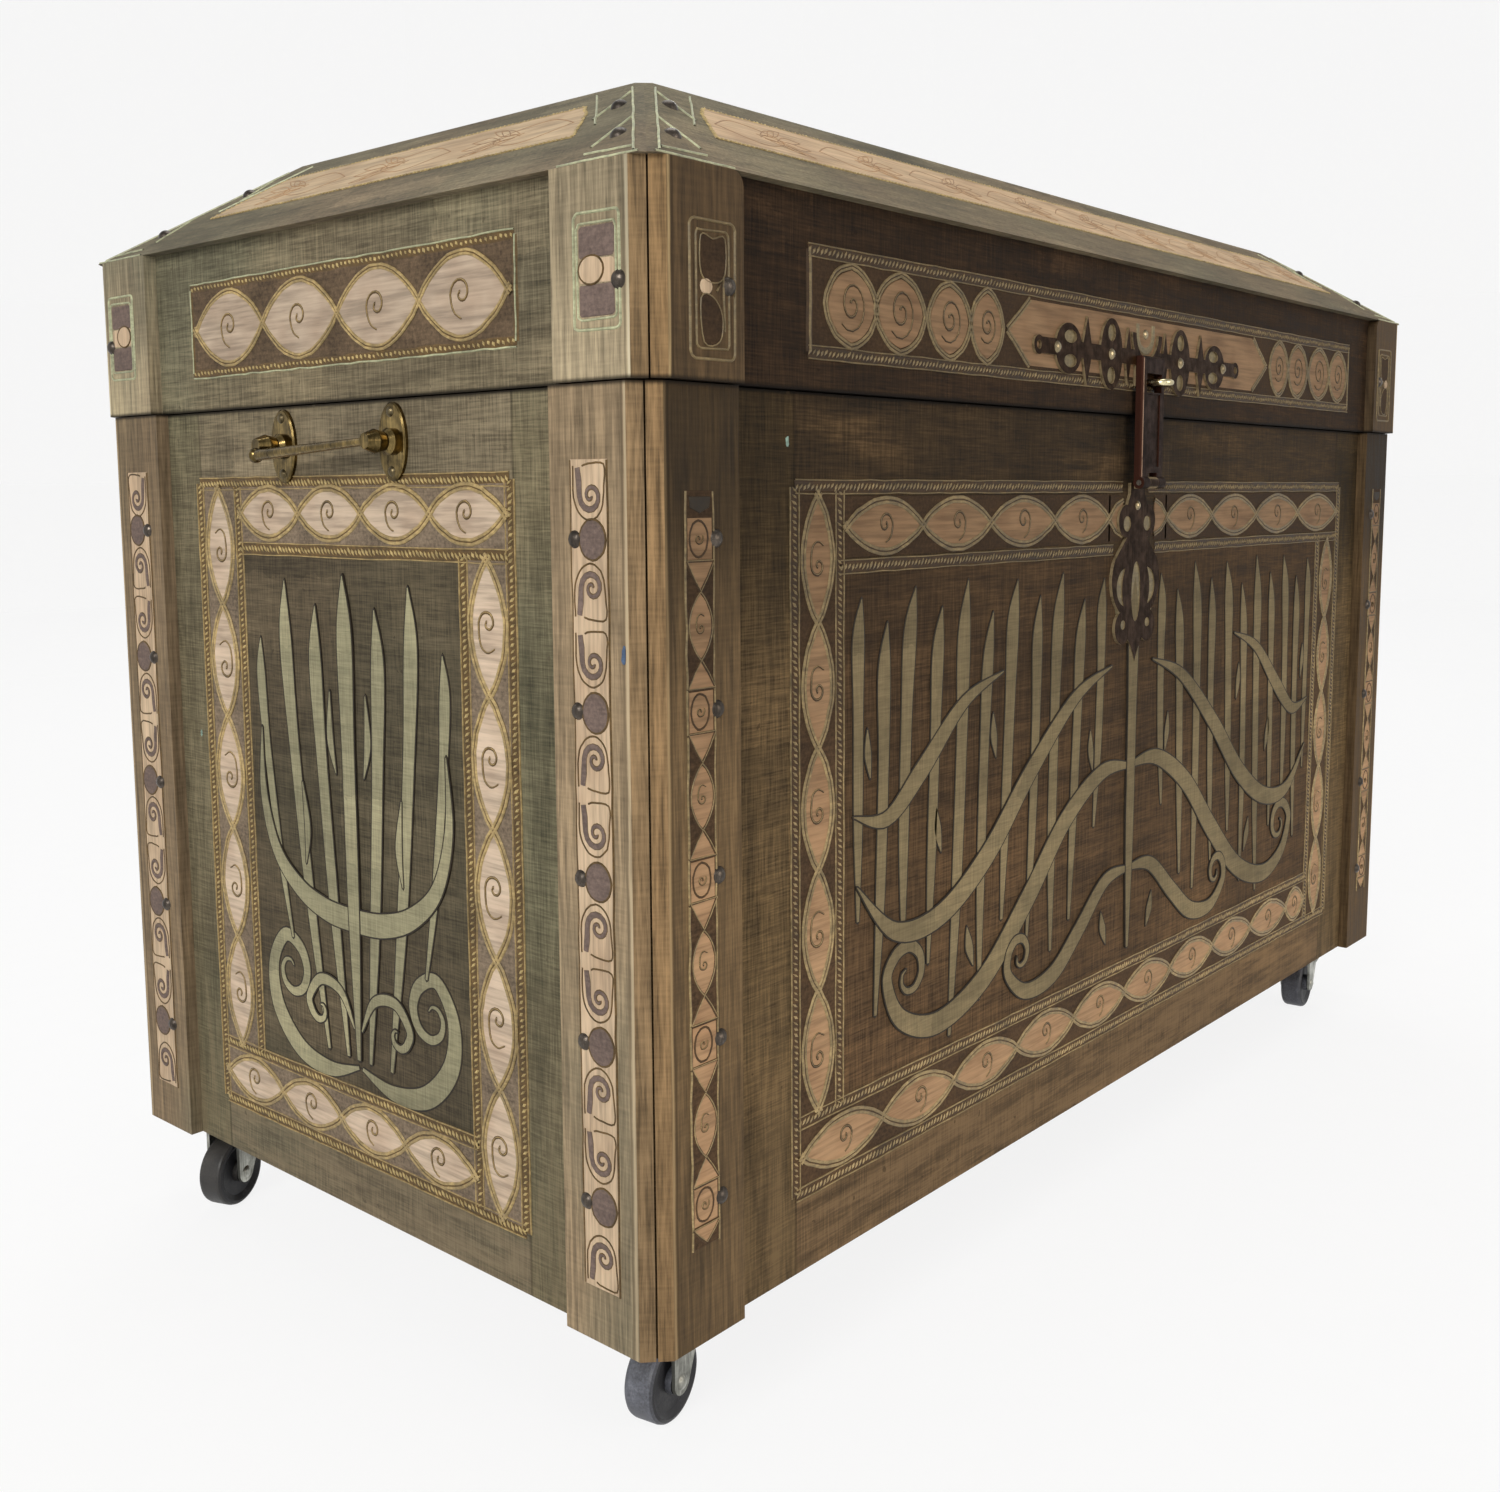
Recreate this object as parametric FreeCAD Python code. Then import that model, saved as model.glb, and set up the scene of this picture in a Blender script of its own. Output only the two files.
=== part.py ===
import FreeCAD, Part

import math
import os

# Painted wooden chest on four casters, with a hipped lid, an iron hasp and brass end handles.
# Frame: +X along the front, +Y to the back, +Z up, floor at zero.
# The origin is under the middle of the bounding box.
# All sizes are in millimetres.

# Carcass
chest_width = 1080.0
chest_depth = 548.0
body_height = 522.0
caster_height = 69.0
board_thickness = 16.0
bottom_thickness = 15.0

# Corner planks, on the faces of the boards
plank_width = 71.0
plank_thickness = 9.0
corner_bevel = 13.4
mitre_gap = 1.0

# Lid
lid_gap = 0.8
lid_side_height = 108.0
lid_rise = 69.5
lid_top_inset = 103.5
lid_front_overhang = 5.0
lid_end_overhang = 1.0
lid_board_thickness = 14.0
slope_thickness = 12.0
hip_flat = 10.0
lid_plank_round = 8.0

# Domed nails
stud_radius = 5.0
stud_rise = 3.0
stud_shank_side = 2.4
stud_shank_length = 15.0
hip_shank_length = 9.0
shank_clearance = 0.05
stud_inset = 52.0
stud_lowest = 80.0
stud_pitch = 90.5
studs_per_plank = 5
lid_front_stud_inset = 59.0
lid_end_stud_inset = 21.0
lid_stud_height_share = 0.45
hip_stud_offset = 20.0
hip_stud_shares = (0.28, 0.69)

# Screws
screw_head_radius = 3.2
screw_head_rise = 1.8
screw_shank_radius = 1.6
screw_shank_length = 11.0

# End handles
handle_pitch = 115.0
handle_drop = 25.0
handle_plate_width = 26.0
handle_plate_height = 46.5
handle_plate_thickness = 3.0
handle_plate_bevel = 1.0
handle_screw_offset = 17.5
boss_length = 19.0
boss_collar_radius = 8.0
boss_collar_length = 2.6
boss_neck_radius = 5.6
boss_belly_radius = 7.2
boss_tip_radius = 4.6
grip_front_radius = 2.4
grip_back_radius = 3.6
grip_knob_radius = 4.8
grip_drop = 6.0

# Hasp
hasp_plate_thickness = 2.5
strap_width = 36.0
strap_thickness = 6.0
strap_gap = 0.3
strap_edge_bevel = 1.6
strap_above_seam = 44.0
strap_below_seam = 50.0
strap_slot_width = 24.0
strap_slot_height = 14.0
strap_panel_width = 20.0
strap_panel_height = 54.0
strap_panel_depth = 0.9
strap_panel_rise = 12.0
knuckle_radius = 4.5
hasp_pin_radius = 2.0
hasp_pin_behind_face = 1.8
hasp_knuckle_share = 0.38
knuckle_gap = 0.3
pin_clearance = 0.05
notch_rise = 7.5

# Padlock staple
staple_rise = 23.5
staple_width = 18.0
staple_wire_radius = 2.6
staple_reach = 15.0
staple_seat_depth = 10.0

# Lower pierced plate, measured down from the pin and out from its middle line
base_plate_height = 137.0
base_neck_width = 23.0
base_lobe_width = 59.0
base_waist_width = 32.0
base_pear_width = 77.0
base_foot_width = 64.0
base_hole_radius = 5.8
base_slot_width = 14.0
base_slot_height = 46.0
base_nail_radius = 3.6
base_nail_rise = 2.0
base_nail_shank_length = 8.0
base_nail_side = 1.8

# Upper pierced plate, measured out from its middle
lid_plate_rise = 42.0
lid_plate_bar_height = 11.0
lid_plate_reach = 165.0
big_lobe_place = 56.0
big_lobe_width = 33.0
big_lobe_height = 51.0
end_lobe_place = 118.0
end_lobe_width = 37.0
end_lobe_height = 35.0
spear_place = 92.0
spear_width = 15.0
spear_height = 48.0
small_spear_place = 30.0
small_spear_width = 10.0
small_spear_height = 42.0
ring_radius = 6.5
ring_hole_radius = 3.0
scallop_radius = 18.0
scallop_band = 6.0
plate_nail_radius = 4.2
plate_nail_rise = 2.4
end_nail_place = 134.0

# Lid hinges
hinge_place = 300.0
hinge_length = 66.0
hinge_leaf_height = 28.0
hinge_leaf_thickness = 2.5
hinge_barrel_radius = 5.0
hinge_pin_radius = 2.5
hinge_barrel_gap = 0.3
hinge_screw_margin = 12.0

# Casters
caster_inset_x = 58.5
caster_inset_y = 50.5
wheel_radius = 25.4
wheel_width = 20.0
wheel_shoulder = 3.5
shoulder_steps = 3
wheel_hub_radius = 8.0
wheel_hub_width = 23.6
wheel_recess_radius = 18.0
wheel_recess_depth = 2.5
axle_radius = 3.0
axle_head_radius = 4.8
axle_head_rise = 2.0
caster_trail = 16.0
cheek_thickness = 2.4
cheek_gap = 0.5
cheek_eye_radius = 7.6
crown_radius = 22.0
crown_thickness = 2.6
crown_flare = 14.0
crown_gap = 0.3
cup_radius = 15.0
cup_height = 6.5
caster_plate_side = 46.0
caster_plate_thickness = 2.5
caster_plate_round = 6.0
caster_screw_pitch = 34.0
kingpin_radius = 4.0
kingpin_head_radius = 7.0
kingpin_head_rise = 2.4
caster_headings = {
    "front_left": 190.6,
    "front_right": 186.5,
    "back_left": 201.0,
    "back_right": 194.0,
}

# The casters were set by hand: how far each lies inward of its inset, as shares of its plate's side
caster_drift_shares = {
    "front_left": 0.18,
    "front_right": 0.0,
    "back_left": -0.12,
    "back_right": 0.0,
}

# Overrun of every cut
cut_overrun = 2.0

# Planes and heights worked out from the sizes above
half_width = chest_width / 2
body_bottom = caster_height
body_top = body_bottom + body_height
lid_bottom = body_top + lid_gap
eave_height = lid_bottom + lid_side_height
lid_top = eave_height + lid_rise
lid_half_width = half_width + lid_end_overhang

# The strap lies just in front of the lid plate, whose face sets how far the staple reaches out
lid_face_out = lid_front_overhang - plank_thickness
lid_plate_face_out = lid_face_out + hasp_plate_thickness
strap_back_out = lid_plate_face_out + strap_gap
strap_face_out = strap_back_out + strap_thickness
staple_tip_out = strap_face_out + staple_reach
hinge_axis_behind = lid_front_overhang - plank_thickness + hinge_barrel_radius + hinge_barrel_gap
back_reach = lid_front_overhang + stud_rise

# The bounding box runs from the staple's tip to the heads of the lid's rear nails
front_y = -(chest_depth + back_reach - staple_tip_out) / 2
back_y = front_y + chest_depth
body_front_face = front_y + plank_thickness
body_back_face = back_y - plank_thickness
lid_front_y = front_y - lid_front_overhang
lid_back_y = back_y + lid_front_overhang
lid_front_face = front_y - lid_face_out
lid_back_face = back_y + lid_face_out
lid_middle_y = (lid_front_y + lid_back_y) / 2

up = FreeCAD.Vector(0, 0, 1)
along_x = FreeCAD.Vector(1, 0, 0)
along_y = FreeCAD.Vector(0, 1, 0)


def vec(x, y, z):
    return FreeCAD.Vector(x, y, z)


def slab(x0, x1, y0, y1, z0, z1):
    """Box between two corners."""
    return Part.makeBox(x1 - x0, y1 - y0, z1 - z0, vec(x0, y0, z0))


def prism(points, direction):
    """Polygon pushed along a vector."""
    ring = Part.makePolygon(points + points[:1])
    return Part.Face(ring).extrude(direction)


def rod(radius, start, direction, length):
    return Part.makeCylinder(radius, length, start, direction)


def fused(shapes):
    """One solid out of several that touch or overlap."""
    whole = shapes[0]
    for shape in shapes[1:]:
        whole = whole.fuse(shape)
    return whole.removeSplitter()


def less(shape, cutters):
    for cutter in cutters:
        shape = shape.cut(cutter)
    return shape


def mirrored(shape, normal):
    return shape.mirror(vec(0, 0, 0), normal)


def turned(shape, place, direction):
    """Shape built on +Z at the origin, moved to a place and aimed along a direction."""
    copy = shape.copy()
    copy.Placement = FreeCAD.Placement(place, FreeCAD.Rotation(up, direction))
    return copy


def save(name, shapes):
    """Write one node as a STEP file of separate solids."""
    solids = [solid for shape in shapes for solid in shape.Solids]
    whole = solids[0] if len(solids) == 1 else Part.makeCompound(solids)
    whole.exportStep("parts/" + name + ".step")
    print(name, len(solids), "solids", round(sum(solid.Volume for solid in solids)), "mm3")


def domed_nail(radius, rise, shank_side, shank_length):
    """Domed head on a square shank, head base at zero, pointing up."""
    ball = (radius * radius + rise * rise) / (2 * rise)
    rim_degrees = math.degrees(math.asin((ball - rise) / ball))
    head = Part.makeSphere(ball, vec(0, 0, rise - ball), up, rim_degrees, 90, 360)
    half = shank_side / 2
    shank = slab(-half, half, -half, half, -shank_length, 0)
    return fused([head, shank])


def nail_hole(shank_side, shank_length):
    """Square hole for a nail's shank, open at the surface."""
    half = shank_side / 2 + shank_clearance
    return slab(-half, half, -half, half, -shank_length - shank_clearance, cut_overrun)


def screw():
    """Round-headed wood screw, head base at zero, pointing up."""
    head = domed_nail(screw_head_radius, screw_head_rise, screw_shank_radius, screw_head_rise)
    shank = rod(screw_shank_radius, vec(0, 0, -screw_shank_length), up, screw_shank_length)
    return fused([head, shank])


def screw_hole():
    deep = screw_shank_length + shank_clearance
    return rod(screw_shank_radius + shank_clearance, vec(0, 0, -deep), up, deep + cut_overrun)


def corners(x_out, y_front, y_back):
    """Four upright corner lines, each with the inward directions along x and y."""
    return {
        "front_left": (vec(-x_out, y_front, 0), along_x, along_y),
        "front_right": (vec(x_out, y_front, 0), -along_x, along_y),
        "back_left": (vec(-x_out, y_back, 0), along_x, -along_y),
        "back_right": (vec(x_out, y_back, 0), -along_x, -along_y),
    }


def corner_plank(corner, along, inward, low, high):
    """Plank mitred at the corner line, with half of the corner's bevel on it."""
    step = mitre_gap / math.sqrt(2)
    plan = [
        (corner_bevel, 0),
        (plank_width, 0),
        (plank_width, plank_thickness),
        (plank_thickness + step, plank_thickness),
        ((corner_bevel + step) / 2, (corner_bevel - step) / 2),
    ]
    points = [corner + along * s + inward * d + up * low for s, d in plan]
    return prism(points, up * (high - low))


def plank_studs(corner, along, inward, inset, heights):
    """Places of the domed nails on a plank, with the way that they face."""
    return [(corner + along * inset + up * height, -inward) for height in heights]


def stud_holes(places, length):
    hole = nail_hole(stud_shank_side, length)
    return [turned(hole, place, way) for place, way in places]


def body_stud_places():
    heights = [body_bottom + stud_lowest + stud_pitch * row for row in range(studs_per_plank)]
    places = []
    for corner, in_x, in_y in corners(half_width, front_y, back_y).values():
        places += plank_studs(corner, in_x, in_y, stud_inset, heights)
        places += plank_studs(corner, in_y, in_x, stud_inset, heights)
    return places


def lid_stud_places():
    height = lid_bottom + lid_side_height * lid_stud_height_share
    places = []
    for corner, in_x, in_y in corners(lid_half_width, lid_front_y, lid_back_y).values():
        places += plank_studs(corner, in_x, in_y, lid_front_stud_inset, [height])
        places += plank_studs(corner, in_y, in_x, lid_end_stud_inset, [height])
    return places


def hip_stud_places():
    """Two nails on each side of every hip, square to their slope."""
    places = []
    for corner, in_x, in_y in corners(lid_half_width, lid_front_y, lid_back_y).values():
        for along, inward in ((in_x, in_y), (in_y, in_x)):
            facing = up * lid_top_inset - inward * lid_rise
            for share in hip_stud_shares:
                run = lid_top_inset * share
                spot = corner + inward * run + along * (run + hip_stud_offset)
                places.append((spot + up * (eave_height + lid_rise * share), facing))
    return places


# Places of screws, used by the holes and by the screws

def handle_middle():
    return (front_y + back_y) / 2, body_top - handle_drop


def handle_screw_places():
    middle, height = handle_middle()
    face = half_width - plank_thickness + handle_plate_thickness
    places = []
    for side in (-1, 1):
        for shift in (-handle_pitch / 2, handle_pitch / 2):
            for lift in (-handle_screw_offset, handle_screw_offset):
                places.append((vec(side * face, middle + shift, height + lift), along_x * side))
    return places


def hinge_screw_places(face_y, height):
    places = []
    for side in (-1, 1):
        for shift in (hinge_screw_margin - hinge_length / 2, 0, hinge_length / 2 - hinge_screw_margin):
            spot = vec(side * hinge_place + shift, face_y + hinge_leaf_thickness, height)
            places.append((spot, along_y))
    return places


def body_hinge_screw_places():
    leaf_top = hinge_axis().z - 2 * hinge_barrel_radius
    return hinge_screw_places(body_back_face, leaf_top - hinge_leaf_height / 2)


def lid_hinge_screw_places():
    leaf_low = hinge_axis().z + hinge_barrel_radius + hinge_barrel_gap
    return hinge_screw_places(lid_back_face, leaf_low + hinge_leaf_height / 2)


def caster_screw_places():
    half = caster_screw_pitch / 2
    low = body_bottom - caster_plate_thickness
    places = []
    for pin in caster_pins().values():
        for x in (-half, half):
            for y in (-half, half):
                places.append((vec(pin.x + x, pin.y + y, low), -up))
    return places


def body_screw_places():
    return handle_screw_places() + body_hinge_screw_places() + caster_screw_places()


def at_places(shape, places):
    return [turned(shape, place, way) for place, way in places]


# Carcass

def board_cuts():
    """Holes for nail shanks and screws that the body's boards share."""
    cuts = stud_holes(body_stud_places(), stud_shank_length)
    cuts += at_places(screw_hole(), body_screw_places())
    return cuts


def near_cuts(shape, cuts):
    """Only the cutters whose boxes meet the shape."""
    return less(shape, [cut for cut in cuts if shape.BoundBox.intersect(cut.BoundBox)])


def make_carcass():
    outer = half_width - plank_thickness
    inner = outer - board_thickness
    inner_front = body_front_face + board_thickness
    inner_back = body_back_face - board_thickness
    floor_top = body_bottom + bottom_thickness
    boards = {
        "front_board": slab(-outer, outer, body_front_face, inner_front, body_bottom, body_top),
        "back_board": slab(-outer, outer, inner_back, body_back_face, body_bottom, body_top),
        "left_end_board": slab(-outer, -inner, inner_front, inner_back, body_bottom, body_top),
        "right_end_board": slab(inner, outer, inner_front, inner_back, body_bottom, body_top),
        "bottom_board": slab(-inner, inner, inner_front, inner_back, body_bottom, floor_top),
    }
    cuts = board_cuts() + [base_nail_hole()]
    for name, board in boards.items():
        save(name, [near_cuts(board, cuts)])


def make_body_planks():
    cuts = stud_holes(body_stud_places(), stud_shank_length)
    for name, (corner, in_x, in_y) in corners(half_width, front_y, back_y).items():
        face, end = name.split("_")
        wide = corner_plank(corner, in_x, in_y, body_bottom, body_top)
        deep = corner_plank(corner, in_y, in_x, body_bottom, body_top)
        save(name + "_plank", [near_cuts(wide, cuts)])
        save(end + "_" + face + "_plank", [near_cuts(deep, cuts)])


def make_body_studs():
    nail = domed_nail(stud_radius, stud_rise, stud_shank_side, stud_shank_length)
    save("body_studs", at_places(nail, body_stud_places()))


def make_body_screws():
    save("body_screws", at_places(screw(), body_screw_places()))


# Lid

def make_lid_boards():
    outer = lid_half_width - plank_thickness
    inner = outer - lid_board_thickness
    inner_front = lid_front_face + lid_board_thickness
    inner_back = lid_back_face - lid_board_thickness
    boards = {
        "lid_front_board": slab(-outer, outer, lid_front_face, inner_front, lid_bottom, eave_height),
        "lid_back_board": slab(-outer, outer, inner_back, lid_back_face, lid_bottom, eave_height),
        "lid_left_board": slab(-outer, -inner, inner_front, inner_back, lid_bottom, eave_height),
        "lid_right_board": slab(inner, outer, inner_front, inner_back, lid_bottom, eave_height),
    }
    cuts = stud_holes(lid_stud_places(), stud_shank_length)
    cuts += at_places(screw_hole(), lid_hinge_screw_places())
    cuts += lid_plate_nail_holes() + staple_seats()
    for name, board in boards.items():
        save(name, [near_cuts(board, cuts)])


def rounded_top(plank, corner, along, inward):
    """Round the plank's top corner on the side away from the chest's corner."""
    reach = plank_width - lid_plank_round
    low = eave_height - lid_plank_round
    start = corner + along * reach - inward * cut_overrun
    depth = plank_thickness + 2 * cut_overrun
    square = [start + up * low, start + along * (lid_plank_round + cut_overrun) + up * low,
              start + along * (lid_plank_round + cut_overrun) + up * (eave_height + cut_overrun),
              start + up * (eave_height + cut_overrun)]
    block = prism(square, inward * depth)
    core = rod(lid_plank_round, start + up * low, inward, depth)
    return plank.cut(block.cut(core))


def make_lid_planks():
    cuts = stud_holes(lid_stud_places(), stud_shank_length)
    for name, (corner, in_x, in_y) in corners(lid_half_width, lid_front_y, lid_back_y).items():
        face, end = name.split("_")
        wide = corner_plank(corner, in_x, in_y, lid_bottom, eave_height)
        wide = rounded_top(wide, corner, in_x, in_y)
        deep = corner_plank(corner, in_y, in_x, lid_bottom, eave_height)
        save("lid_" + name + "_plank", [near_cuts(wide, cuts)])
        save("lid_" + end + "_" + face + "_plank", [near_cuts(deep, cuts)])


def slope_profile():
    """Cross-section of a slope board: inward distance from the eave, and height over it."""
    angle = math.atan2(lid_rise, lid_top_inset)
    foot = slope_thickness / math.sin(angle)
    knee = foot + (lid_rise - slope_thickness) / math.tan(angle)
    return [(0, 0), (lid_top_inset, lid_rise), (knee, lid_rise - slope_thickness), (foot, 0)]


def slope_board(corner, along, inward, length):
    """Slope board between two hips, mitred upright at 45 degrees in plan."""
    profile = slope_profile()
    points = [corner + inward * run + up * (eave_height + lift) for run, lift in profile]
    board = prism(points, along * length)
    deep = profile[2][0] + cut_overrun
    plan = [(0, 0), (length, 0), (length - deep, deep), (deep, deep)]
    keep = prism([corner + along * s + inward * d + up * eave_height for s, d in plan], up * lid_rise)
    return board.common(keep)


def hip_cutters():
    """Blocks that plane a narrow flat on each hip and on the eave corner below it."""
    size = lid_top_inset * 2
    half_dihedral = hip_half_dihedral()
    sink = hip_flat / 2 * math.tan(half_dihedral)
    leg = hip_flat / math.sqrt(2)
    blocks = []
    for corner, in_x, in_y in corners(lid_half_width, lid_front_y, lid_back_y).values():
        out = (up * (2 * lid_top_inset / lid_rise) - in_x - in_y).normalize()
        block = Part.makeBox(2 * size, 2 * size, size, vec(-size, -size, 0))
        blocks.append(turned(block, corner + up * eave_height - out * sink, out))
        low = corner + up * (eave_height - cut_overrun)
        tip = [low - in_x * cut_overrun - in_y * cut_overrun,
               low + in_x * (leg + cut_overrun) - in_y * cut_overrun,
               low - in_x * cut_overrun + in_y * (leg + cut_overrun)]
        blocks.append(prism(tip, up * (2 * leg)))
    return blocks


def hip_half_dihedral():
    """Half of the angle by which the roof turns over at a hip."""
    angle = math.atan2(lid_rise, lid_top_inset)
    turn = math.acos(math.cos(angle) ** 2)
    return turn / 2


def make_lid_slopes():
    cutters = hip_cutters()
    holes = stud_holes(hip_stud_places(), hip_shank_length)
    places = corners(lid_half_width, lid_front_y, lid_back_y)
    width = 2 * lid_half_width
    depth = lid_back_y - lid_front_y
    start, in_x, in_y = places["front_left"]
    end, back_x, back_y_way = places["back_right"]
    slopes = {
        "lid_front_slope": slope_board(start, in_x, in_y, width),
        "lid_left_slope": slope_board(start, in_y, in_x, depth),
        "lid_back_slope": slope_board(end, back_x, back_y_way, width),
        "lid_right_slope": slope_board(end, back_y_way, back_x, depth),
    }
    for name, slope in slopes.items():
        save(name, [near_cuts(less(slope, cutters), holes)])


def rectangle(half_x, half_y, height):
    points = [vec(-half_x, lid_middle_y - half_y, height), vec(half_x, lid_middle_y - half_y, height),
              vec(half_x, lid_middle_y + half_y, height), vec(-half_x, lid_middle_y + half_y, height)]
    return Part.makePolygon(points + points[:1])


def make_lid_top():
    """Flat top board with edges undercut to meet the slopes."""
    knee = slope_profile()[2][0]
    half_depth = (lid_back_y - lid_front_y) / 2
    over = rectangle(lid_half_width - lid_top_inset, half_depth - lid_top_inset, lid_top)
    under = rectangle(lid_half_width - knee, half_depth - knee, lid_top - slope_thickness)
    panel = Part.makeLoft([under, over], True, True)
    save("lid_top_panel", [less(panel, hip_cutters())])


def make_lid_studs():
    nail = domed_nail(stud_radius, stud_rise, stud_shank_side, stud_shank_length)
    short_nail = domed_nail(stud_radius, stud_rise, stud_shank_side, hip_shank_length)
    save("lid_studs", at_places(nail, lid_stud_places()) + at_places(short_nail, hip_stud_places()))


def make_lid_screws():
    save("lid_screws", at_places(screw(), lid_hinge_screw_places()))


# End handles, made on the left end and mirrored to the right

def oval(width, height, start, direction, depth):
    """Upright oval plate standing on a plane whose normal is the direction."""
    curve = Part.Ellipse(vec(0, 0, 0), height / 2, width / 2)
    face = Part.Face(Part.Wire(curve.toShape()))
    plate = face.extrude(up * depth)
    plate.Placement = FreeCAD.Placement(start, FreeCAD.Rotation(vec(0, 0, 1), along_y, direction, "ZYX"))
    return plate


def handle_plate(place):
    """Oval plate with a bevelled face and two screw holes, facing -X."""
    plate = oval(handle_plate_width, handle_plate_height, place, -along_x, handle_plate_thickness)
    rim = [edge for edge in plate.Edges if edge.BoundBox.XMax < place.x - handle_plate_thickness / 2]
    return plate.makeChamfer(handle_plate_bevel, rim)


def make_handle_plates():
    middle, height = handle_middle()
    face = -half_width + plank_thickness
    holes = at_places(screw_hole(), handle_screw_places())
    plates = []
    for shift in (-handle_pitch / 2, handle_pitch / 2):
        plate = near_cuts(handle_plate(vec(face, middle + shift, height)), holes)
        plates += [plate, mirrored(plate, along_x)]
    save("handle_plates", plates)


def boss():
    """Turned foot of the handle, standing on +Z: collar, neck and barrel."""
    neck_end = 2 * boss_collar_length
    belly = (neck_end + boss_length) / 2
    outline = Part.Wire([
        Part.makeLine(vec(0, 0, 0), vec(boss_collar_radius, 0, 0)),
        Part.makeLine(vec(boss_collar_radius, 0, 0), vec(boss_collar_radius, 0, boss_collar_length)),
        Part.makeLine(vec(boss_collar_radius, 0, boss_collar_length), vec(boss_neck_radius, 0, neck_end)),
        Part.makeLine(vec(boss_neck_radius, 0, neck_end), vec(boss_belly_radius, 0, belly)),
        Part.makeLine(vec(boss_belly_radius, 0, belly), vec(boss_tip_radius, 0, boss_length)),
        Part.makeLine(vec(boss_tip_radius, 0, boss_length), vec(0, 0, boss_length)),
        Part.makeLine(vec(0, 0, boss_length), vec(0, 0, 0)),
    ])
    return Part.Face(outline).revolve(vec(0, 0, 0), up, 360)


def make_handle_bars():
    """Tapering grip between two turned feet, hanging a little at its thick rear end."""
    middle, height = handle_middle()
    seat = -half_width + plank_thickness - handle_plate_thickness
    feet = [turned(boss(), vec(seat, middle + shift, height), -along_x)
            for shift in (-handle_pitch / 2, handle_pitch / 2)]
    reach = seat - boss_length
    start = vec(reach + grip_front_radius, middle - handle_pitch / 2, height)
    end = vec(reach, middle + handle_pitch / 2, height - grip_drop)
    run = end - start
    grip = Part.makeCone(grip_front_radius, grip_back_radius, run.Length, start, run)
    knob = Part.makeSphere(grip_knob_radius, end)
    bar = fused([feet[0], grip, knob, feet[1]])
    save("left_handle_bar", [bar])
    save("right_handle_bar", [mirrored(bar, along_x)])


# Hasp: strap on a pin at its foot, with a pierced plate below and another on the lid

def hasp_axis():
    return vec(0, front_y - strap_face_out + hasp_pin_behind_face, body_top - strap_below_seam)


def knuckle_length():
    return strap_width * hasp_knuckle_share


def knuckle(radius, length, axis, middle_x, bore):
    """Ring about an X axis, with its bore."""
    start = vec(middle_x - length / 2, axis.y, axis.z)
    hole_start = vec(middle_x - length / 2 - cut_overrun, axis.y, axis.z)
    ring = rod(radius, start, along_x, length)
    return ring, rod(bore + pin_clearance, hole_start, along_x, length + 2 * cut_overrun)


def make_hasp_strap():
    axis = hasp_axis()
    half = strap_width / 2
    face = front_y - strap_face_out
    back = front_y - strap_back_out
    top = body_top + strap_above_seam
    bar = slab(-half, half, face, back, axis.z, top)
    front = [edge for edge in bar.Edges if edge.BoundBox.YMax < face + strap_gap]
    rim = [edge for edge in front if edge.BoundBox.ZMax > axis.z + half]
    bar = bar.makeChamfer(strap_edge_bevel, rim)
    ring, bore = knuckle(knuckle_radius, strap_width, axis, 0, hasp_pin_radius)
    strap = fused([bar, ring])
    slot_middle = lid_bottom + staple_rise
    slot = slab(-strap_slot_width / 2, strap_slot_width / 2, face - cut_overrun, back + cut_overrun,
                slot_middle - strap_slot_height / 2, slot_middle + strap_slot_height / 2)
    panel_low = axis.z + strap_panel_rise
    panel = slab(-strap_panel_width / 2, strap_panel_width / 2, face - cut_overrun, face + strap_panel_depth,
                 panel_low, panel_low + strap_panel_height)
    half_notch = knuckle_length() / 2 + knuckle_gap
    over = knuckle_radius + cut_overrun
    notch = slab(-half_notch, half_notch, face - over, back + over, axis.z - over, axis.z + notch_rise)
    save("hasp_strap", [less(strap, [bore, slot, panel, notch])])


def plate_point(x, drop, top, y):
    return vec(x, y, top - drop)


def base_outline(top, y):
    """Right half of the lower plate from its neck to its tip, then the left half as a mirror."""
    high = base_plate_height
    neck = base_neck_width / 2
    lobe = base_lobe_width / 2
    waist = base_waist_width / 2
    pear = base_pear_width / 2
    foot = base_foot_width / 2
    outline_shares = {
        "neck_end": 0.06, "lobe_start": 0.12, "lobe": 0.225, "waist": 0.30, "swell": 0.42,
        "swell_width": 0.88, "pear": 0.56, "cusp": 0.715, "cusp_width": 0.64, "foot": 0.775,
        "foot_end": 0.87, "foot_end_width": 0.36, "tip_bend": 0.93, "tip_bend_width": 0.16,
    }

    def right(x, drop_share):
        return plate_point(x, high * outline_shares[drop_share], top, y)

    stations = [
        (plate_point(neck, 0, top, y), None),
        (right(neck, "neck_end"), None),
        (right(waist, "lobe_start"), None),
        (right(waist, "waist"), right(lobe, "lobe")),
        (right(pear * outline_shares["swell_width"], "swell"), None),
        (right(pear * outline_shares["cusp_width"], "cusp"), right(pear, "pear")),
        (right(foot * outline_shares["foot_end_width"], "foot_end"), right(foot, "foot")),
        (plate_point(0, high, top, y), right(foot * outline_shares["tip_bend_width"], "tip_bend")),
    ]
    return stations


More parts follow.
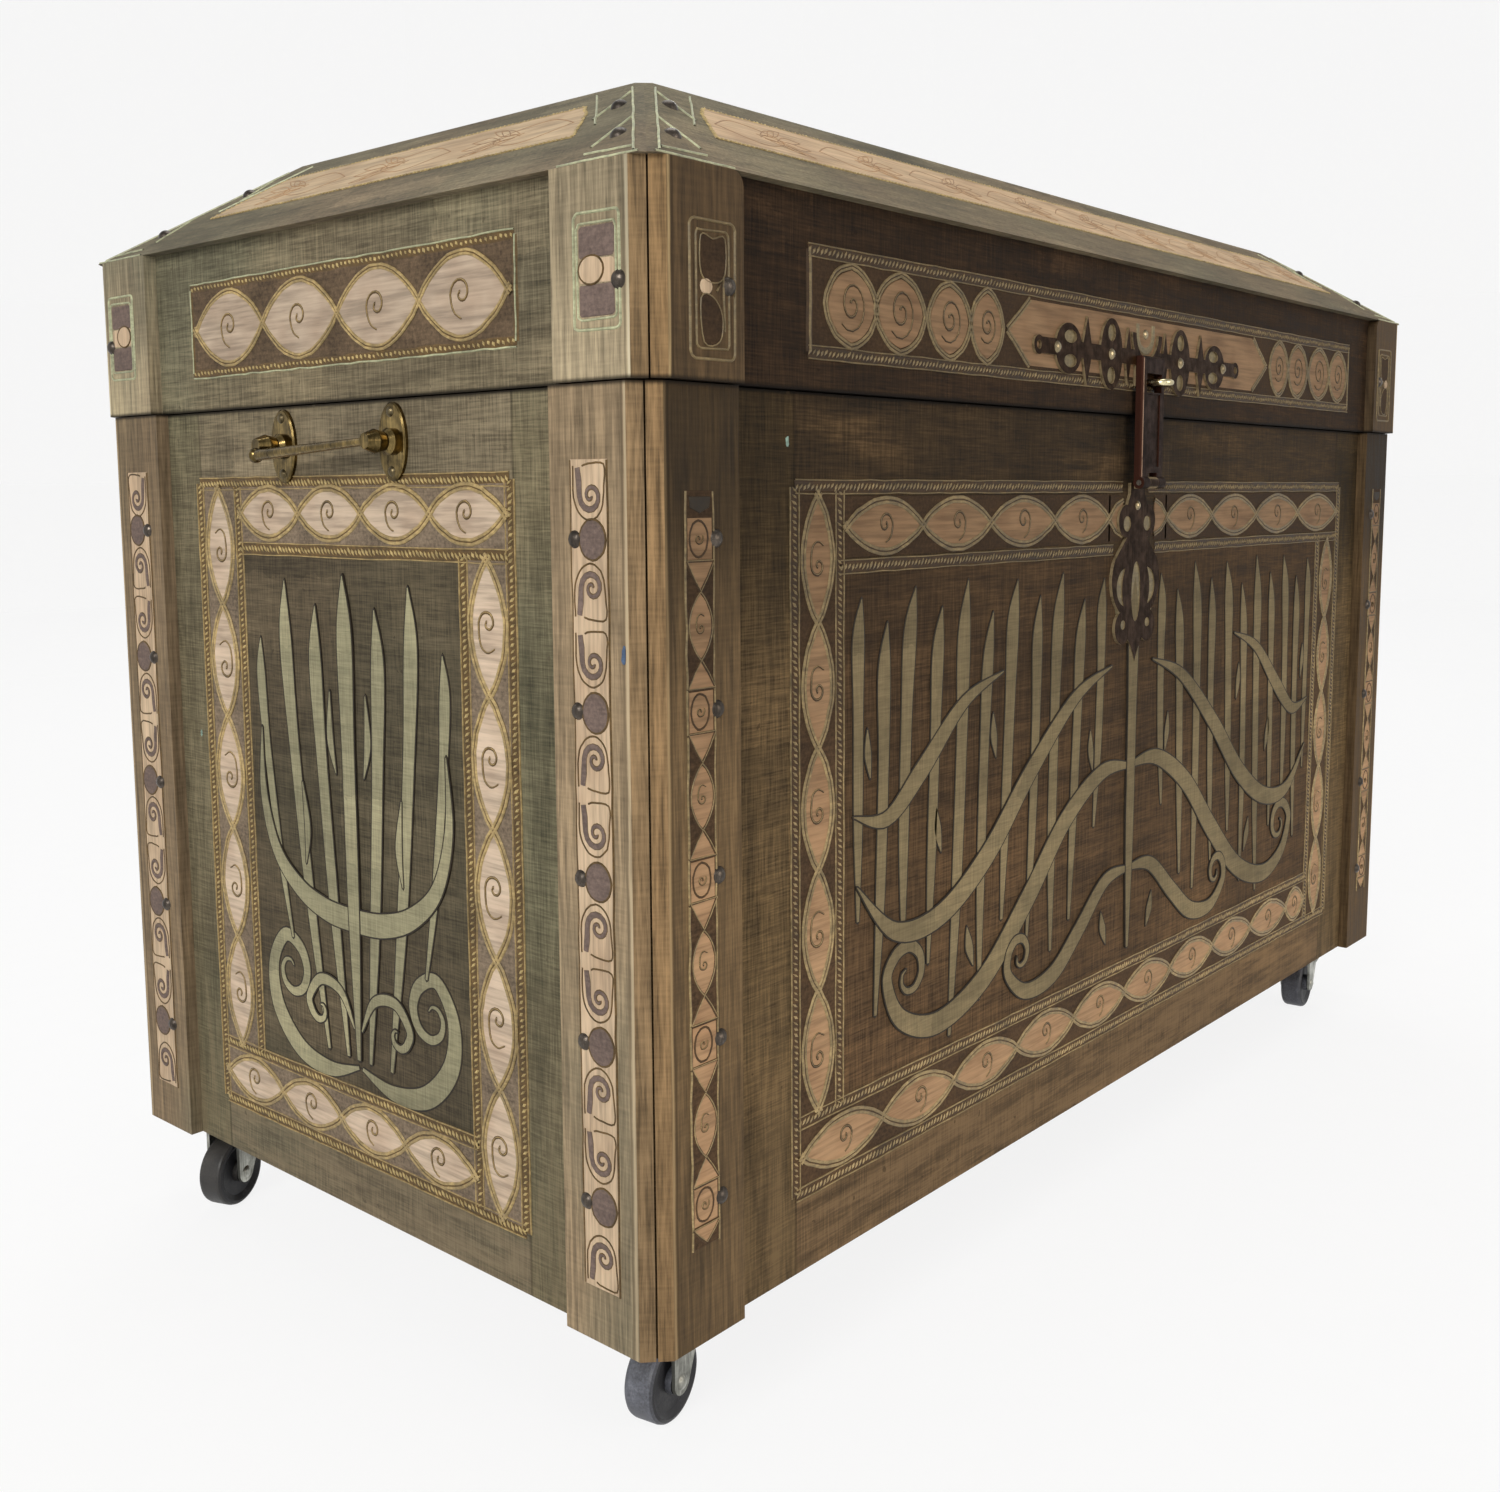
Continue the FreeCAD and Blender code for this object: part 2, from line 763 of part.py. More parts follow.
def mirrored_face(stations):
    """Face bounded by stations on the right and their mirror on the left, joined by lines and arcs."""
    def flip(point):
        return vec(-point.x, point.y, point.z)

    edges = []
    for (start, _), (end, middle) in zip(stations, stations[1:]):
        for side in (lambda point: point, flip):
            if middle is None:
                edges.append(Part.makeLine(side(start), side(end)))
            else:
                edges.append(Part.Arc(side(start), side(middle), side(end)).toShape())
    for point in (stations[0][0], stations[-1][0]):
        if abs(point.x) > 0:
            edges.append(Part.makeLine(point, flip(point)))
    return Part.Face(Part.Wire(Part.__sortEdges__(edges)))


def ellipse_bar(width, height, x, y, z, depth):
    """Upright oval in the XZ plane, pushed back along +Y."""
    tall = height > width
    curve = Part.Ellipse(vec(0, 0, 0), max(width, height) / 2, min(width, height) / 2)
    face = Part.Face(Part.Wire(curve.toShape()))
    solid = face.extrude(up * depth)
    lay = FreeCAD.Rotation(along_x, -90)
    if tall:
        lay = lay.multiply(FreeCAD.Rotation(up, 90))
    solid.Placement = FreeCAD.Placement(vec(x, y, z), lay)
    return solid


def crescent(side, top, y, depth):
    """Curved opening beside the long slot."""
    pear = base_pear_width / 2
    high = base_plate_height
    crescent_shares = ((0.46, 0.47), (0.80, 0.57), (0.50, 0.68), (0.58, 0.57))
    points = [plate_point(side * pear * wide, high * drop, top, y) for wide, drop in crescent_shares]
    rim = Part.Wire([
        Part.Arc(points[0], points[1], points[2]).toShape(),
        Part.Arc(points[2], points[3], points[0]).toShape(),
    ])
    return Part.Face(rim).extrude(along_y * depth)


def base_nail_place():
    drop_share = 0.125
    axis = hasp_axis()
    return vec(0, body_front_face - hasp_plate_thickness, axis.z - base_plate_height * drop_share)


def base_nail_hole():
    return turned(nail_hole(base_nail_side, base_nail_shank_length), base_nail_place(), -along_y)


def make_hasp_base():
    axis = hasp_axis()
    top = axis.z
    face = body_front_face - hasp_plate_thickness
    plate = mirrored_face(base_outline(top, face)).extrude(along_y * hasp_plate_thickness)
    start = face - cut_overrun
    deep = hasp_plate_thickness + 2 * cut_overrun
    lobe_drop_share = 0.225
    lobe_place_share = 0.55
    slot_drop_share = 0.605
    foot_drop_share = 0.785
    foot_place_share = 0.62
    foot_hole_share = 0.62
    cuts = []
    lobe_x = base_lobe_width / 2 * lobe_place_share
    foot_x = base_foot_width / 2 * foot_place_share
    for side in (-1, 1):
        lobe = plate_point(side * lobe_x, base_plate_height * lobe_drop_share, top, start)
        foot = plate_point(side * foot_x, base_plate_height * foot_drop_share, top, start)
        cuts.append(rod(base_hole_radius, lobe, along_y, deep))
        cuts.append(rod(base_hole_radius * foot_hole_share, foot, along_y, deep))
        cuts.append(crescent(side, top, start, deep))
    slot_middle = top - base_plate_height * slot_drop_share
    cuts.append(ellipse_bar(base_slot_width, base_slot_height, 0, start, slot_middle, deep))
    plate = less(plate, cuts)
    length = knuckle_length()
    ring, bore = knuckle(knuckle_radius, length, axis, 0, hasp_pin_radius)
    web = slab(-length / 2, length / 2, axis.y, face + hasp_plate_thickness, axis.z - knuckle_radius, axis.z)
    solid = fused([plate, web, ring]).cut(bore).cut(base_nail_hole())
    save("hasp_base_plate", [solid])
    nail = domed_nail(base_nail_radius, base_nail_rise, base_nail_side, base_nail_shank_length)
    save("hasp_base_nail", [turned(nail, base_nail_place(), -along_y)])


def spear(place, width, height, y, z):
    half_w = width / 2
    half_h = height / 2
    points = [vec(place - half_w, y, z), vec(place, y, z + half_h),
              vec(place + half_w, y, z), vec(place, y, z - half_h)]
    return prism(points, along_y * hasp_plate_thickness)


def lid_plate_side(side, y, z):
    """Lobes, spears and end ring on one side of the upper plate."""
    thick = hasp_plate_thickness
    reach = side * (lid_plate_reach - ring_radius)
    return [
        ellipse_bar(big_lobe_width, big_lobe_height, side * big_lobe_place, y, z, thick),
        ellipse_bar(end_lobe_width, end_lobe_height, side * end_lobe_place, y, z, thick),
        spear(side * spear_place, spear_width, spear_height, y, z),
        spear(side * small_spear_place, small_spear_width, small_spear_height, y, z),
        rod(ring_radius, vec(reach, y, z), along_y, thick),
    ]


def lid_plate_piercings(side, y, z, depth):
    """Eye-shaped openings in the lobes and the hole of the end ring."""
    upper_share = 0.30
    lobe_eye_share = 0.34
    eye_tall_share = 0.24
    end_eye_wide_share = 0.46
    end_eye_tall_share = 0.26
    drop_share = 0.24
    reach = side * (lid_plate_reach - ring_radius)
    big_x = side * big_lobe_place
    end_x = side * (end_lobe_place - end_lobe_width * (upper_share - drop_share))
    return [
        ellipse_bar(big_lobe_width * lobe_eye_share, big_lobe_height * eye_tall_share, big_x, y,
                    z + big_lobe_height * upper_share, depth),
        ellipse_bar(big_lobe_width * lobe_eye_share, big_lobe_height * eye_tall_share, big_x, y,
                    z - big_lobe_height * upper_share, depth),
        ellipse_bar(end_lobe_width * end_eye_wide_share, end_lobe_height * end_eye_tall_share, end_x, y,
                    z - end_lobe_height * drop_share, depth),
        ellipse_bar(end_lobe_width * end_eye_wide_share, end_lobe_height * end_eye_tall_share, end_x, y,
                    z + end_lobe_height * drop_share, depth),
        rod(ring_hole_radius, vec(reach, y, z), along_y, depth),
    ]


def lid_plate_nail_places():
    face = lid_front_face - hasp_plate_thickness
    height = lid_bottom + lid_plate_rise
    places = [vec(0, lid_front_face, height + scallop_radius)]
    for side in (-1, 1):
        places.append(vec(side * big_lobe_place, face, height))
        places.append(vec(side * end_nail_place, face, height))
    return [(place, -along_y) for place in places]


def lid_plate_nail_holes():
    return at_places(nail_hole(base_nail_side, base_nail_shank_length), lid_plate_nail_places())


def make_lid_plate():
    y = lid_front_face - hasp_plate_thickness
    z = lid_bottom + lid_plate_rise
    half_bar = lid_plate_bar_height / 2
    bar_reach = lid_plate_reach - ring_radius - ring_hole_radius
    bar = slab(-bar_reach, bar_reach, y, lid_front_face, z - half_bar, z + half_bar)
    middle = vec(0, y, z + scallop_radius)
    band = rod(scallop_radius + scallop_band, middle, along_y, hasp_plate_thickness)
    low = z - small_spear_height / 2
    foot = slab(-strap_width / 2, strap_width / 2, y, lid_front_face, low, z)
    shapes = [bar, band, foot] + lid_plate_side(-1, y, z) + lid_plate_side(1, y, z)
    start = y - cut_overrun
    deep = hasp_plate_thickness + 2 * cut_overrun
    bowl = rod(scallop_radius, vec(0, start, middle.z), along_y, deep)
    wide = scallop_radius + scallop_band + cut_overrun
    opening = slab(-wide, wide, start, start + deep, middle.z, middle.z + wide)
    cuts = [bowl, opening] + lid_plate_piercings(-1, start, z, deep) + lid_plate_piercings(1, start, z, deep)
    plate = less(less(fused(shapes), cuts), lid_plate_nail_holes() + staple_seats())
    save("lid_hasp_plate", [plate])
    nail = domed_nail(plate_nail_radius, plate_nail_rise, base_nail_side, base_nail_shank_length)
    save("lid_plate_nails", at_places(nail, lid_plate_nail_places()))


def staple_leg_offset():
    return staple_width / 2 - staple_wire_radius


def staple_seats():
    """Two round holes for the staple's legs, through the plate and into the lid's front board."""
    y = lid_front_face - hasp_plate_thickness - cut_overrun
    z = lid_bottom + staple_rise
    deep = staple_seat_depth + hasp_plate_thickness + cut_overrun + shank_clearance
    radius = staple_wire_radius + shank_clearance
    offset = staple_leg_offset()
    return [rod(radius, vec(side * offset, y, z), along_y, deep) for side in (-1, 1)]


def make_lid_staple():
    """Round wire bent to a level loop, with its legs in the lid's front board."""
    offset = staple_leg_offset()
    z = lid_bottom + staple_rise
    tail = lid_front_face + staple_seat_depth
    tip = front_y - staple_tip_out + staple_wire_radius
    bend = tip + offset
    path = Part.Wire([
        Part.makeLine(vec(-offset, tail, z), vec(-offset, bend, z)),
        Part.Arc(vec(-offset, bend, z), vec(0, tip, z), vec(offset, bend, z)).toShape(),
        Part.makeLine(vec(offset, bend, z), vec(offset, tail, z)),
    ])
    ring = Part.Wire(Part.makeCircle(staple_wire_radius, vec(-offset, tail, z), along_y))
    save("lid_staple", [path.makePipeShell([ring], True, False)])


# Lid hinges on the back

def hinge_axis():
    return vec(0, back_y + hinge_axis_behind, body_top + lid_gap / 2)


def hinge_knuckle_length():
    return (hinge_length - 2 * knuckle_gap) / 3


def leaf_plate(middle_x, face_y, low, high):
    half = hinge_length / 2
    return slab(middle_x - half, middle_x + half, face_y, face_y + hinge_leaf_thickness, low, high)


def body_leaf(middle_x):
    """Cranked leaf on the body with the two outer knuckles."""
    axis = hinge_axis()
    length = hinge_knuckle_length()
    leaf_top = axis.z - 2 * hinge_barrel_radius
    plate = leaf_plate(middle_x, body_back_face, leaf_top - hinge_leaf_height, leaf_top)
    shapes = [plate]
    bores = []
    for side in (-1, 1):
        centre = middle_x + side * (length + knuckle_gap)
        ring, bore = knuckle(hinge_barrel_radius, length, axis, centre, hinge_pin_radius)
        low = leaf_top - hinge_leaf_thickness
        crank = [
            vec(centre - length / 2, body_back_face, low),
            vec(centre - length / 2, body_back_face + hinge_leaf_thickness, low - hinge_leaf_thickness),
            vec(centre - length / 2, axis.y, axis.z - hinge_barrel_radius),
            vec(centre - length / 2, axis.y - hinge_barrel_radius, axis.z),
            vec(centre - length / 2, body_back_face, leaf_top),
        ]
        shapes += [prism(crank, along_x * length), ring]
        bores.append(bore)
    return less(fused(shapes), bores)


def lid_leaf(middle_x):
    """Flat leaf on the lid with the middle knuckle."""
    axis = hinge_axis()
    length = hinge_knuckle_length()
    leaf_low = axis.z + hinge_barrel_radius + hinge_barrel_gap
    plate = leaf_plate(middle_x, lid_back_face, leaf_low, leaf_low + hinge_leaf_height)
    ring, bore = knuckle(hinge_barrel_radius, length, axis, middle_x, hinge_pin_radius)
    outer = lid_back_face + hinge_leaf_thickness
    web = slab(middle_x - length / 2, middle_x + length / 2, lid_back_face, outer, axis.z, leaf_low)
    return fused([plate, web, ring]).cut(bore)


def make_hinges():
    body_holes = at_places(screw_hole(), body_hinge_screw_places())
    lid_holes = at_places(screw_hole(), lid_hinge_screw_places())
    sides = (-hinge_place, hinge_place)
    save("hinge_body_leaves", [near_cuts(body_leaf(x), body_holes) for x in sides])
    save("hinge_lid_leaves", [near_cuts(lid_leaf(x), lid_holes) for x in sides])


def make_hinge_pins():
    """Pins of the two lid hinges and of the hasp, each as long as its barrel."""
    axis = hinge_axis()
    pins = [rod(hinge_pin_radius, vec(x - hinge_length / 2, axis.y, axis.z), along_x, hinge_length)
            for x in (-hinge_place, hinge_place)]
    foot = hasp_axis()
    pins.append(rod(hasp_pin_radius, vec(-strap_width / 2, foot.y, foot.z), along_x, strap_width))
    save("hinge_pins", pins)


# Casters

def caster_pins():
    """Swivel axis of each caster."""
    places = {}
    for corner, (foot, inward_x, inward_y) in corners(half_width, front_y, back_y).items():
        inset = caster_inset_x + caster_plate_side * caster_drift_shares[corner]
        places[corner] = foot + inward_x * inset + inward_y * caster_inset_y
    return places


def crown_top():
    return body_bottom - caster_plate_thickness - cup_height - crown_gap


def make_caster_plates():
    half = caster_plate_side / 2
    plates = []
    holes = at_places(screw_hole(), caster_screw_places())
    for pin in caster_pins().values():
        low = body_bottom - caster_plate_thickness
        plate = slab(pin.x - half, pin.x + half, pin.y - half, pin.y + half, low, body_bottom)
        uprights = [edge for edge in plate.Edges if edge.BoundBox.ZLength > caster_plate_thickness / 2]
        plate = plate.makeFillet(caster_plate_round, uprights)
        cup = rod(cup_radius, vec(pin.x, pin.y, low - cup_height), up, cup_height)
        bore = rod(kingpin_radius, vec(pin.x, pin.y, low - cup_height - cut_overrun), up,
                   cup_height + caster_plate_thickness + 2 * cut_overrun)
        plates.append(near_cuts(fused([plate, cup]).cut(bore), holes))
    save("caster_plates", plates)


def make_caster_kingpins():
    """Rivets that carry the forks, with their heads under the crowns."""
    seat = crown_top() - crown_thickness - crown_gap
    pins = []
    for pin in caster_pins().values():
        head = rod(kingpin_head_radius, vec(pin.x, pin.y, seat - kingpin_head_rise), up, kingpin_head_rise)
        stem = rod(kingpin_radius, vec(pin.x, pin.y, seat), up, body_bottom - seat)
        pins.append(fused([head, stem]))
    save("caster_kingpins", pins)


def fork():
    """Fork of one caster: crown at the origin's axis, wheel trailing towards +X, axle along Y."""
    top = crown_top()
    low = top - crown_thickness
    inner = wheel_hub_width / 2 + cheek_gap
    outer = inner + cheek_thickness
    crown = rod(crown_radius, vec(0, 0, low), up, crown_thickness)
    tail = slab(0, caster_trail, -outer, outer, low, top)
    flare = Part.makeCone(outer, crown_radius, crown_flare, vec(0, 0, low - crown_flare))
    gap = slab(-crown_radius, crown_radius, -inner, inner, low - crown_flare, low)
    shapes = [crown, tail, flare.cut(gap)]
    for side in (-1, 1):
        start = inner if side > 0 else -outer
        shapes.append(cheek(start, top))
    whole = fused(shapes)
    reach = outer + cut_overrun
    axle_bore = rod(axle_radius + pin_clearance, vec(caster_trail, -reach, wheel_radius), along_y, 2 * reach)
    deep = crown_thickness + 2 * cut_overrun
    pin_bore = rod(kingpin_radius + pin_clearance, vec(0, 0, low - cut_overrun), up, deep)
    return less(whole, [axle_bore, pin_bore])


def cheek(start, top):
    """Side of the fork, tapering from the crown to a round eye at the axle."""
    front_share = 0.35
    front = -crown_radius * front_share
    rear = caster_trail + cheek_eye_radius
    eye = (caster_trail, wheel_radius)
    near = tangent_point((front, top), eye, -1)
    far = (rear, wheel_radius)
    bottom = (caster_trail, wheel_radius - cheek_eye_radius)

    def at(spot):
        return vec(spot[0], start, spot[1])

    rim = Part.Wire([
        Part.makeLine(at((front, top)), at(near)),
        Part.Arc(at(near), at(bottom), at(far)).toShape(),
        Part.makeLine(at(far), at((rear, top - crown_thickness))),
        Part.makeLine(at((rear, top - crown_thickness)), at((caster_trail, top))),
        Part.makeLine(at((caster_trail, top)), at((front, top))),
    ])
    return Part.Face(rim).extrude(along_y * cheek_thickness)


def tangent_point(start, centre, side):
    """Point where a line from the start touches the eye's circle."""
    dx = start[0] - centre[0]
    dz = start[1] - centre[1]
    distance = math.hypot(dx, dz)
    turn = math.acos(cheek_eye_radius / distance)
    angle = math.atan2(dz, dx) - side * turn
    return centre[0] + cheek_eye_radius * math.cos(angle), centre[1] + cheek_eye_radius * math.sin(angle)


def wheel():
    """Wheel with rounded shoulders, a recess in each side and a hub boss, axis along Y."""
    half = wheel_width / 2
    hub_half = wheel_hub_width / 2
    bore = axle_radius + pin_clearance
    floor = half - wheel_recess_depth
    side = [
        (bore, hub_half),
        (wheel_hub_radius, hub_half),
        (wheel_hub_radius, floor),
        (wheel_recess_radius, floor),
    ]
    for step in range(shoulder_steps + 1):
        turn = math.pi / 2 * step / shoulder_steps
        rim = wheel_radius - wheel_shoulder + wheel_shoulder * math.sin(turn)
        side.append((rim, half - wheel_shoulder + wheel_shoulder * math.cos(turn)))
    other = [(radius, -y) for radius, y in reversed(side)]
    outline = [vec(radius, y, 0) for radius, y in side + other]
    ring = Part.makePolygon(outline + outline[:1])
    disc = Part.Face(ring).revolve(vec(0, 0, 0), along_y, 360)
    disc.translate(vec(caster_trail, 0, wheel_radius))
    return disc


def axle():
    """Axle with a domed head at each end, outside the cheeks."""
    outer = wheel_hub_width / 2 + cheek_gap + cheek_thickness
    pin = rod(axle_radius, vec(caster_trail, -outer, wheel_radius), along_y, 2 * outer)
    head = domed_nail(axle_head_radius, axle_head_rise, axle_radius, axle_head_rise)
    ends = [turned(head, vec(caster_trail, side * outer, wheel_radius), along_y * side) for side in (-1, 1)]
    return fused([pin] + ends)


def make_casters():
    pieces = {"fork": fork(), "wheel": wheel(), "axle": axle()}
    for corner, pin in caster_pins().items():
        for piece, shape in pieces.items():
            copy = shape.copy()
            turn = FreeCAD.Rotation(up, caster_headings[corner])
            copy.Placement = FreeCAD.Placement(pin, turn).multiply(copy.Placement)
            save(corner + "_caster_" + piece, [copy])


def main():
    os.makedirs("parts", exist_ok=True)
    make_carcass()
    make_body_planks()
    make_body_studs()
    make_body_screws()
    make_lid_boards()
    make_lid_planks()
    make_lid_slopes()
    make_lid_top()
    make_lid_studs()
    make_lid_screws()
    make_handle_plates()
    make_handle_bars()
    make_hasp_strap()
    make_hasp_base()
    make_lid_plate()
    make_lid_staple()
    make_hinges()
    make_hinge_pins()
    make_caster_plates()
    make_caster_kingpins()
    make_casters()


main()
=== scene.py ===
import bpy
import math
import random
from mathutils import Matrix, Vector


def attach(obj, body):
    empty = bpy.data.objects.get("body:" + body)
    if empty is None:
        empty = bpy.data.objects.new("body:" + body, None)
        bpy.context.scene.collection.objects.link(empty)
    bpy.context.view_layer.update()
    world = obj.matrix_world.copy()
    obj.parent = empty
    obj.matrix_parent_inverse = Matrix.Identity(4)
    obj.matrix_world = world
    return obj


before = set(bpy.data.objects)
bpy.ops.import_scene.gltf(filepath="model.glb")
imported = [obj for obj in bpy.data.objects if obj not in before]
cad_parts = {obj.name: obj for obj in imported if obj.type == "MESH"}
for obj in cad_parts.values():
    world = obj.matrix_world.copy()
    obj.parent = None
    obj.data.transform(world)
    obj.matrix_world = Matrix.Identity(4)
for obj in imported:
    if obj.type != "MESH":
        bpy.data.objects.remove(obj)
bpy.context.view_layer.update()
rng = random.Random(11)

# Main planes of the chest in millimetres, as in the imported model
FRONT, BACK, BASE, HALF = -268.1, 279.9, 69.0, 540.0
SEAM, EAVE = 591.4, 699.8
MID = (FRONT + BACK) / 2
LID_HALF, LID_FRONT, LID_BACK = 541.0, FRONT - 5.0, BACK + 5.0
SLOPE_RUN, SLOPE_RISE = 103.5, 69.5
SLOPE = math.hypot(SLOPE_RUN, SLOPE_RISE)
# How far the boards lie behind the planks
SUNK = 9
MM = 0.001
WHITE = (1.0, 1.0, 1.0)


# Node materials; places and sizes in them are in metres

def c(r, g, b):
    """Linear colour from an sRGB one in 0 to 255."""
    out = []
    for v in (r, g, b):
        v /= 255.0
        out.append(v / 12.92 if v <= 0.04045 else ((v + 0.055) / 1.055) ** 2.4)
    return tuple(out)


def shades(tone, low, high):
    """Dark, middle and light tone of one sRGB colour."""
    base = c(*tone)
    return tuple(v * low for v in base), base, tuple(min(1.0, v * high) for v in base)


def along(axis, share):
    """Stretch that draws noise out along one axis."""
    return tuple(share if name == axis else 1.0 for name in "xyz")


class Mat:
    """A material with one shader and short calls for its nodes."""

    def __init__(self, name, rough, spec, metal=0.0):
        self.m = bpy.data.materials.new(name)
        self.m.use_nodes = True
        self.nodes = self.m.node_tree.nodes
        self.shader = self.nodes["Principled BSDF"]
        self.shader.inputs["Roughness"].default_value = rough
        self.shader.inputs["Metallic"].default_value = metal
        self.shader.inputs["Specular IOR Level"].default_value = spec
        self.coord = self.nodes.new("ShaderNodeTexCoord")

    def put(self, socket, value):
        if hasattr(value, "is_output"):
            self.m.node_tree.links.new(value, socket)
        elif socket.type == "RGBA" and isinstance(value, tuple):
            socket.default_value = (*value, 1)
        else:
            socket.default_value = value

    def node(self, kind, output, values=None, **settings):
        """One output of a new node, after its settings and the values of its inputs."""
        node = self.nodes.new("ShaderNode" + kind)
        for key, value in settings.items():
            setattr(node, key, value)
        for key, value in (values or {}).items():
            self.put(node.inputs[key], value)
        return node.outputs[output]

    def place(self, stretch, shift):
        values = {"Scale": stretch, "Location": shift, "Vector": self.coord.outputs["Object"]}
        return self.node("Mapping", "Vector", values)

    def noise(self, scale, detail, rough, stretch=WHITE, shift=(0, 0, 0)):
        """Noise over object coordinates, with its own stretch along each axis."""
        values = {"Scale": scale, "Detail": detail, "Roughness": rough}
        return self.node("TexNoise", "Fac", {**values, "Vector": self.place(stretch, shift)})

    def patches(self, sizes, shift):
        """One random value for each brick-shaped patch, with uneven sides."""
        wobble = self.product(self.noise(55, 3, 0.6, shift=shift), 0.35)
        bricks = self.vector("ADD", self.place([1 / s for s in sizes], shift), wobble)
        return self.node("TexWhiteNoise", "Value", {"Vector": self.vector("FLOOR", bricks)})

    def axis(self, name, source="Object"):
        return self.node("SeparateXYZ", name, {"Vector": self.coord.outputs[source]})

    def math(self, kind, a, b=0.0):
        return self.node("Math", 0, {0: a, 1: b}, operation=kind)

    def product(self, a, b):
        return self.math("MULTIPLY", a, b)

    def vector(self, kind, a, b=(0, 0, 0)):
        output = "Value" if kind == "DOT_PRODUCT" else "Vector"
        return self.node("VectorMath", output, {0: a, 1: b}, operation=kind)

    def gap(self, value, place):
        """Distance of a value from a place."""
        return self.math("ABSOLUTE", self.math("SUBTRACT", value, place))

    def facing(self, name):
        """How squarely the surface faces along one axis, either way."""
        return self.math("ABSOLUTE", self.axis(name, "Normal"))

    def total(self, *parts):
        """Sum of values, each with its share."""
        out = None
        for share, value in parts:
            part = self.product(value, share)
            out = part if out is None else self.math("ADD", out, part)
        return out

    def span(self, value, low, high, to_low=0.0, to_high=1.0):
        """Value spread from one range to another, clamped and smooth."""
        limits = {"From Min": low, "From Max": high, "To Min": to_low, "To Max": to_high}
        return self.node("MapRange", "Result", {**limits, "Value": value}, interpolation_type="SMOOTHSTEP")

    def near(self, value, place, width, strength=1.0):
        """Share that is full where a value is at a place and falls to nothing a width away."""
        return self.span(self.gap(value, place), width, width * 0.2, 0.0, strength)

    def ramp(self, value, *stops):
        node = self.nodes.new("ShaderNodeValToRGB")
        points = node.color_ramp.elements
        while len(points) < len(stops):
            points.new(0.5)
        for point, (place, colour) in zip(points, stops):
            point.position = place
            point.color = (*colour, 1)
        self.put(node.inputs["Fac"], value)
        return node.outputs["Color"]

    def tones(self, value, tone, spread, stops=(0.39, 0.5, 0.61)):
        """Dark, middle and light of one sRGB colour, laid out over a value."""
        return self.ramp(value, *zip(stops, shades(tone, *spread)))

    def mix(self, share, a, b, kind="MIX"):
        return self.node("Mix", 2, {0: share, 6: a, 7: b}, data_type="RGBA", blend_type=kind)

    def times(self, colour, factor):
        return self.mix(1.0, colour, factor, "MULTIPLY")

    def cloudy(self, colour, scale, high=1.16, stretch=WHITE):
        """Slow changes of brightness."""
        value = self.noise(scale, 5, 0.62, stretch, (1, 4, 2))
        levels = (0.32, (0.8,) * 3), (0.5, WHITE), (0.7, (high, high * 0.99, high * 0.96))
        return self.times(colour, self.ramp(value, *levels))

    def darker(self, colour, height, dusk):
        """Colour that gets darker between two heights, down to a share of itself."""
        low, high, share = dusk
        return self.times(colour, self.span(height, low, high, 1.0, share))

    def wavy_height(self, scale):
        return self.math("ADD", self.axis("Z"), self.product(self.noise(scale, 3, 0.5), 0.05))

    def finish(self, colour, height=None, strength=0.0, depth=0.0, rough=None):
        self.put(self.shader.inputs["Base Color"], colour)
        if rough is not None:
            self.put(self.shader.inputs["Roughness"], rough)
        if height is not None:
            values = {"Strength": strength, "Distance": depth, "Height": height}
            self.put(self.shader.inputs["Normal"], self.node("Bump", "Normal", values))
        return self.m


PATCH_TONES = (0.0, (0.88, 0.88, 0.88)), (0.8, (1.04, 1.04, 1.03)), (1.0, (1.22, 1.2, 1.18))


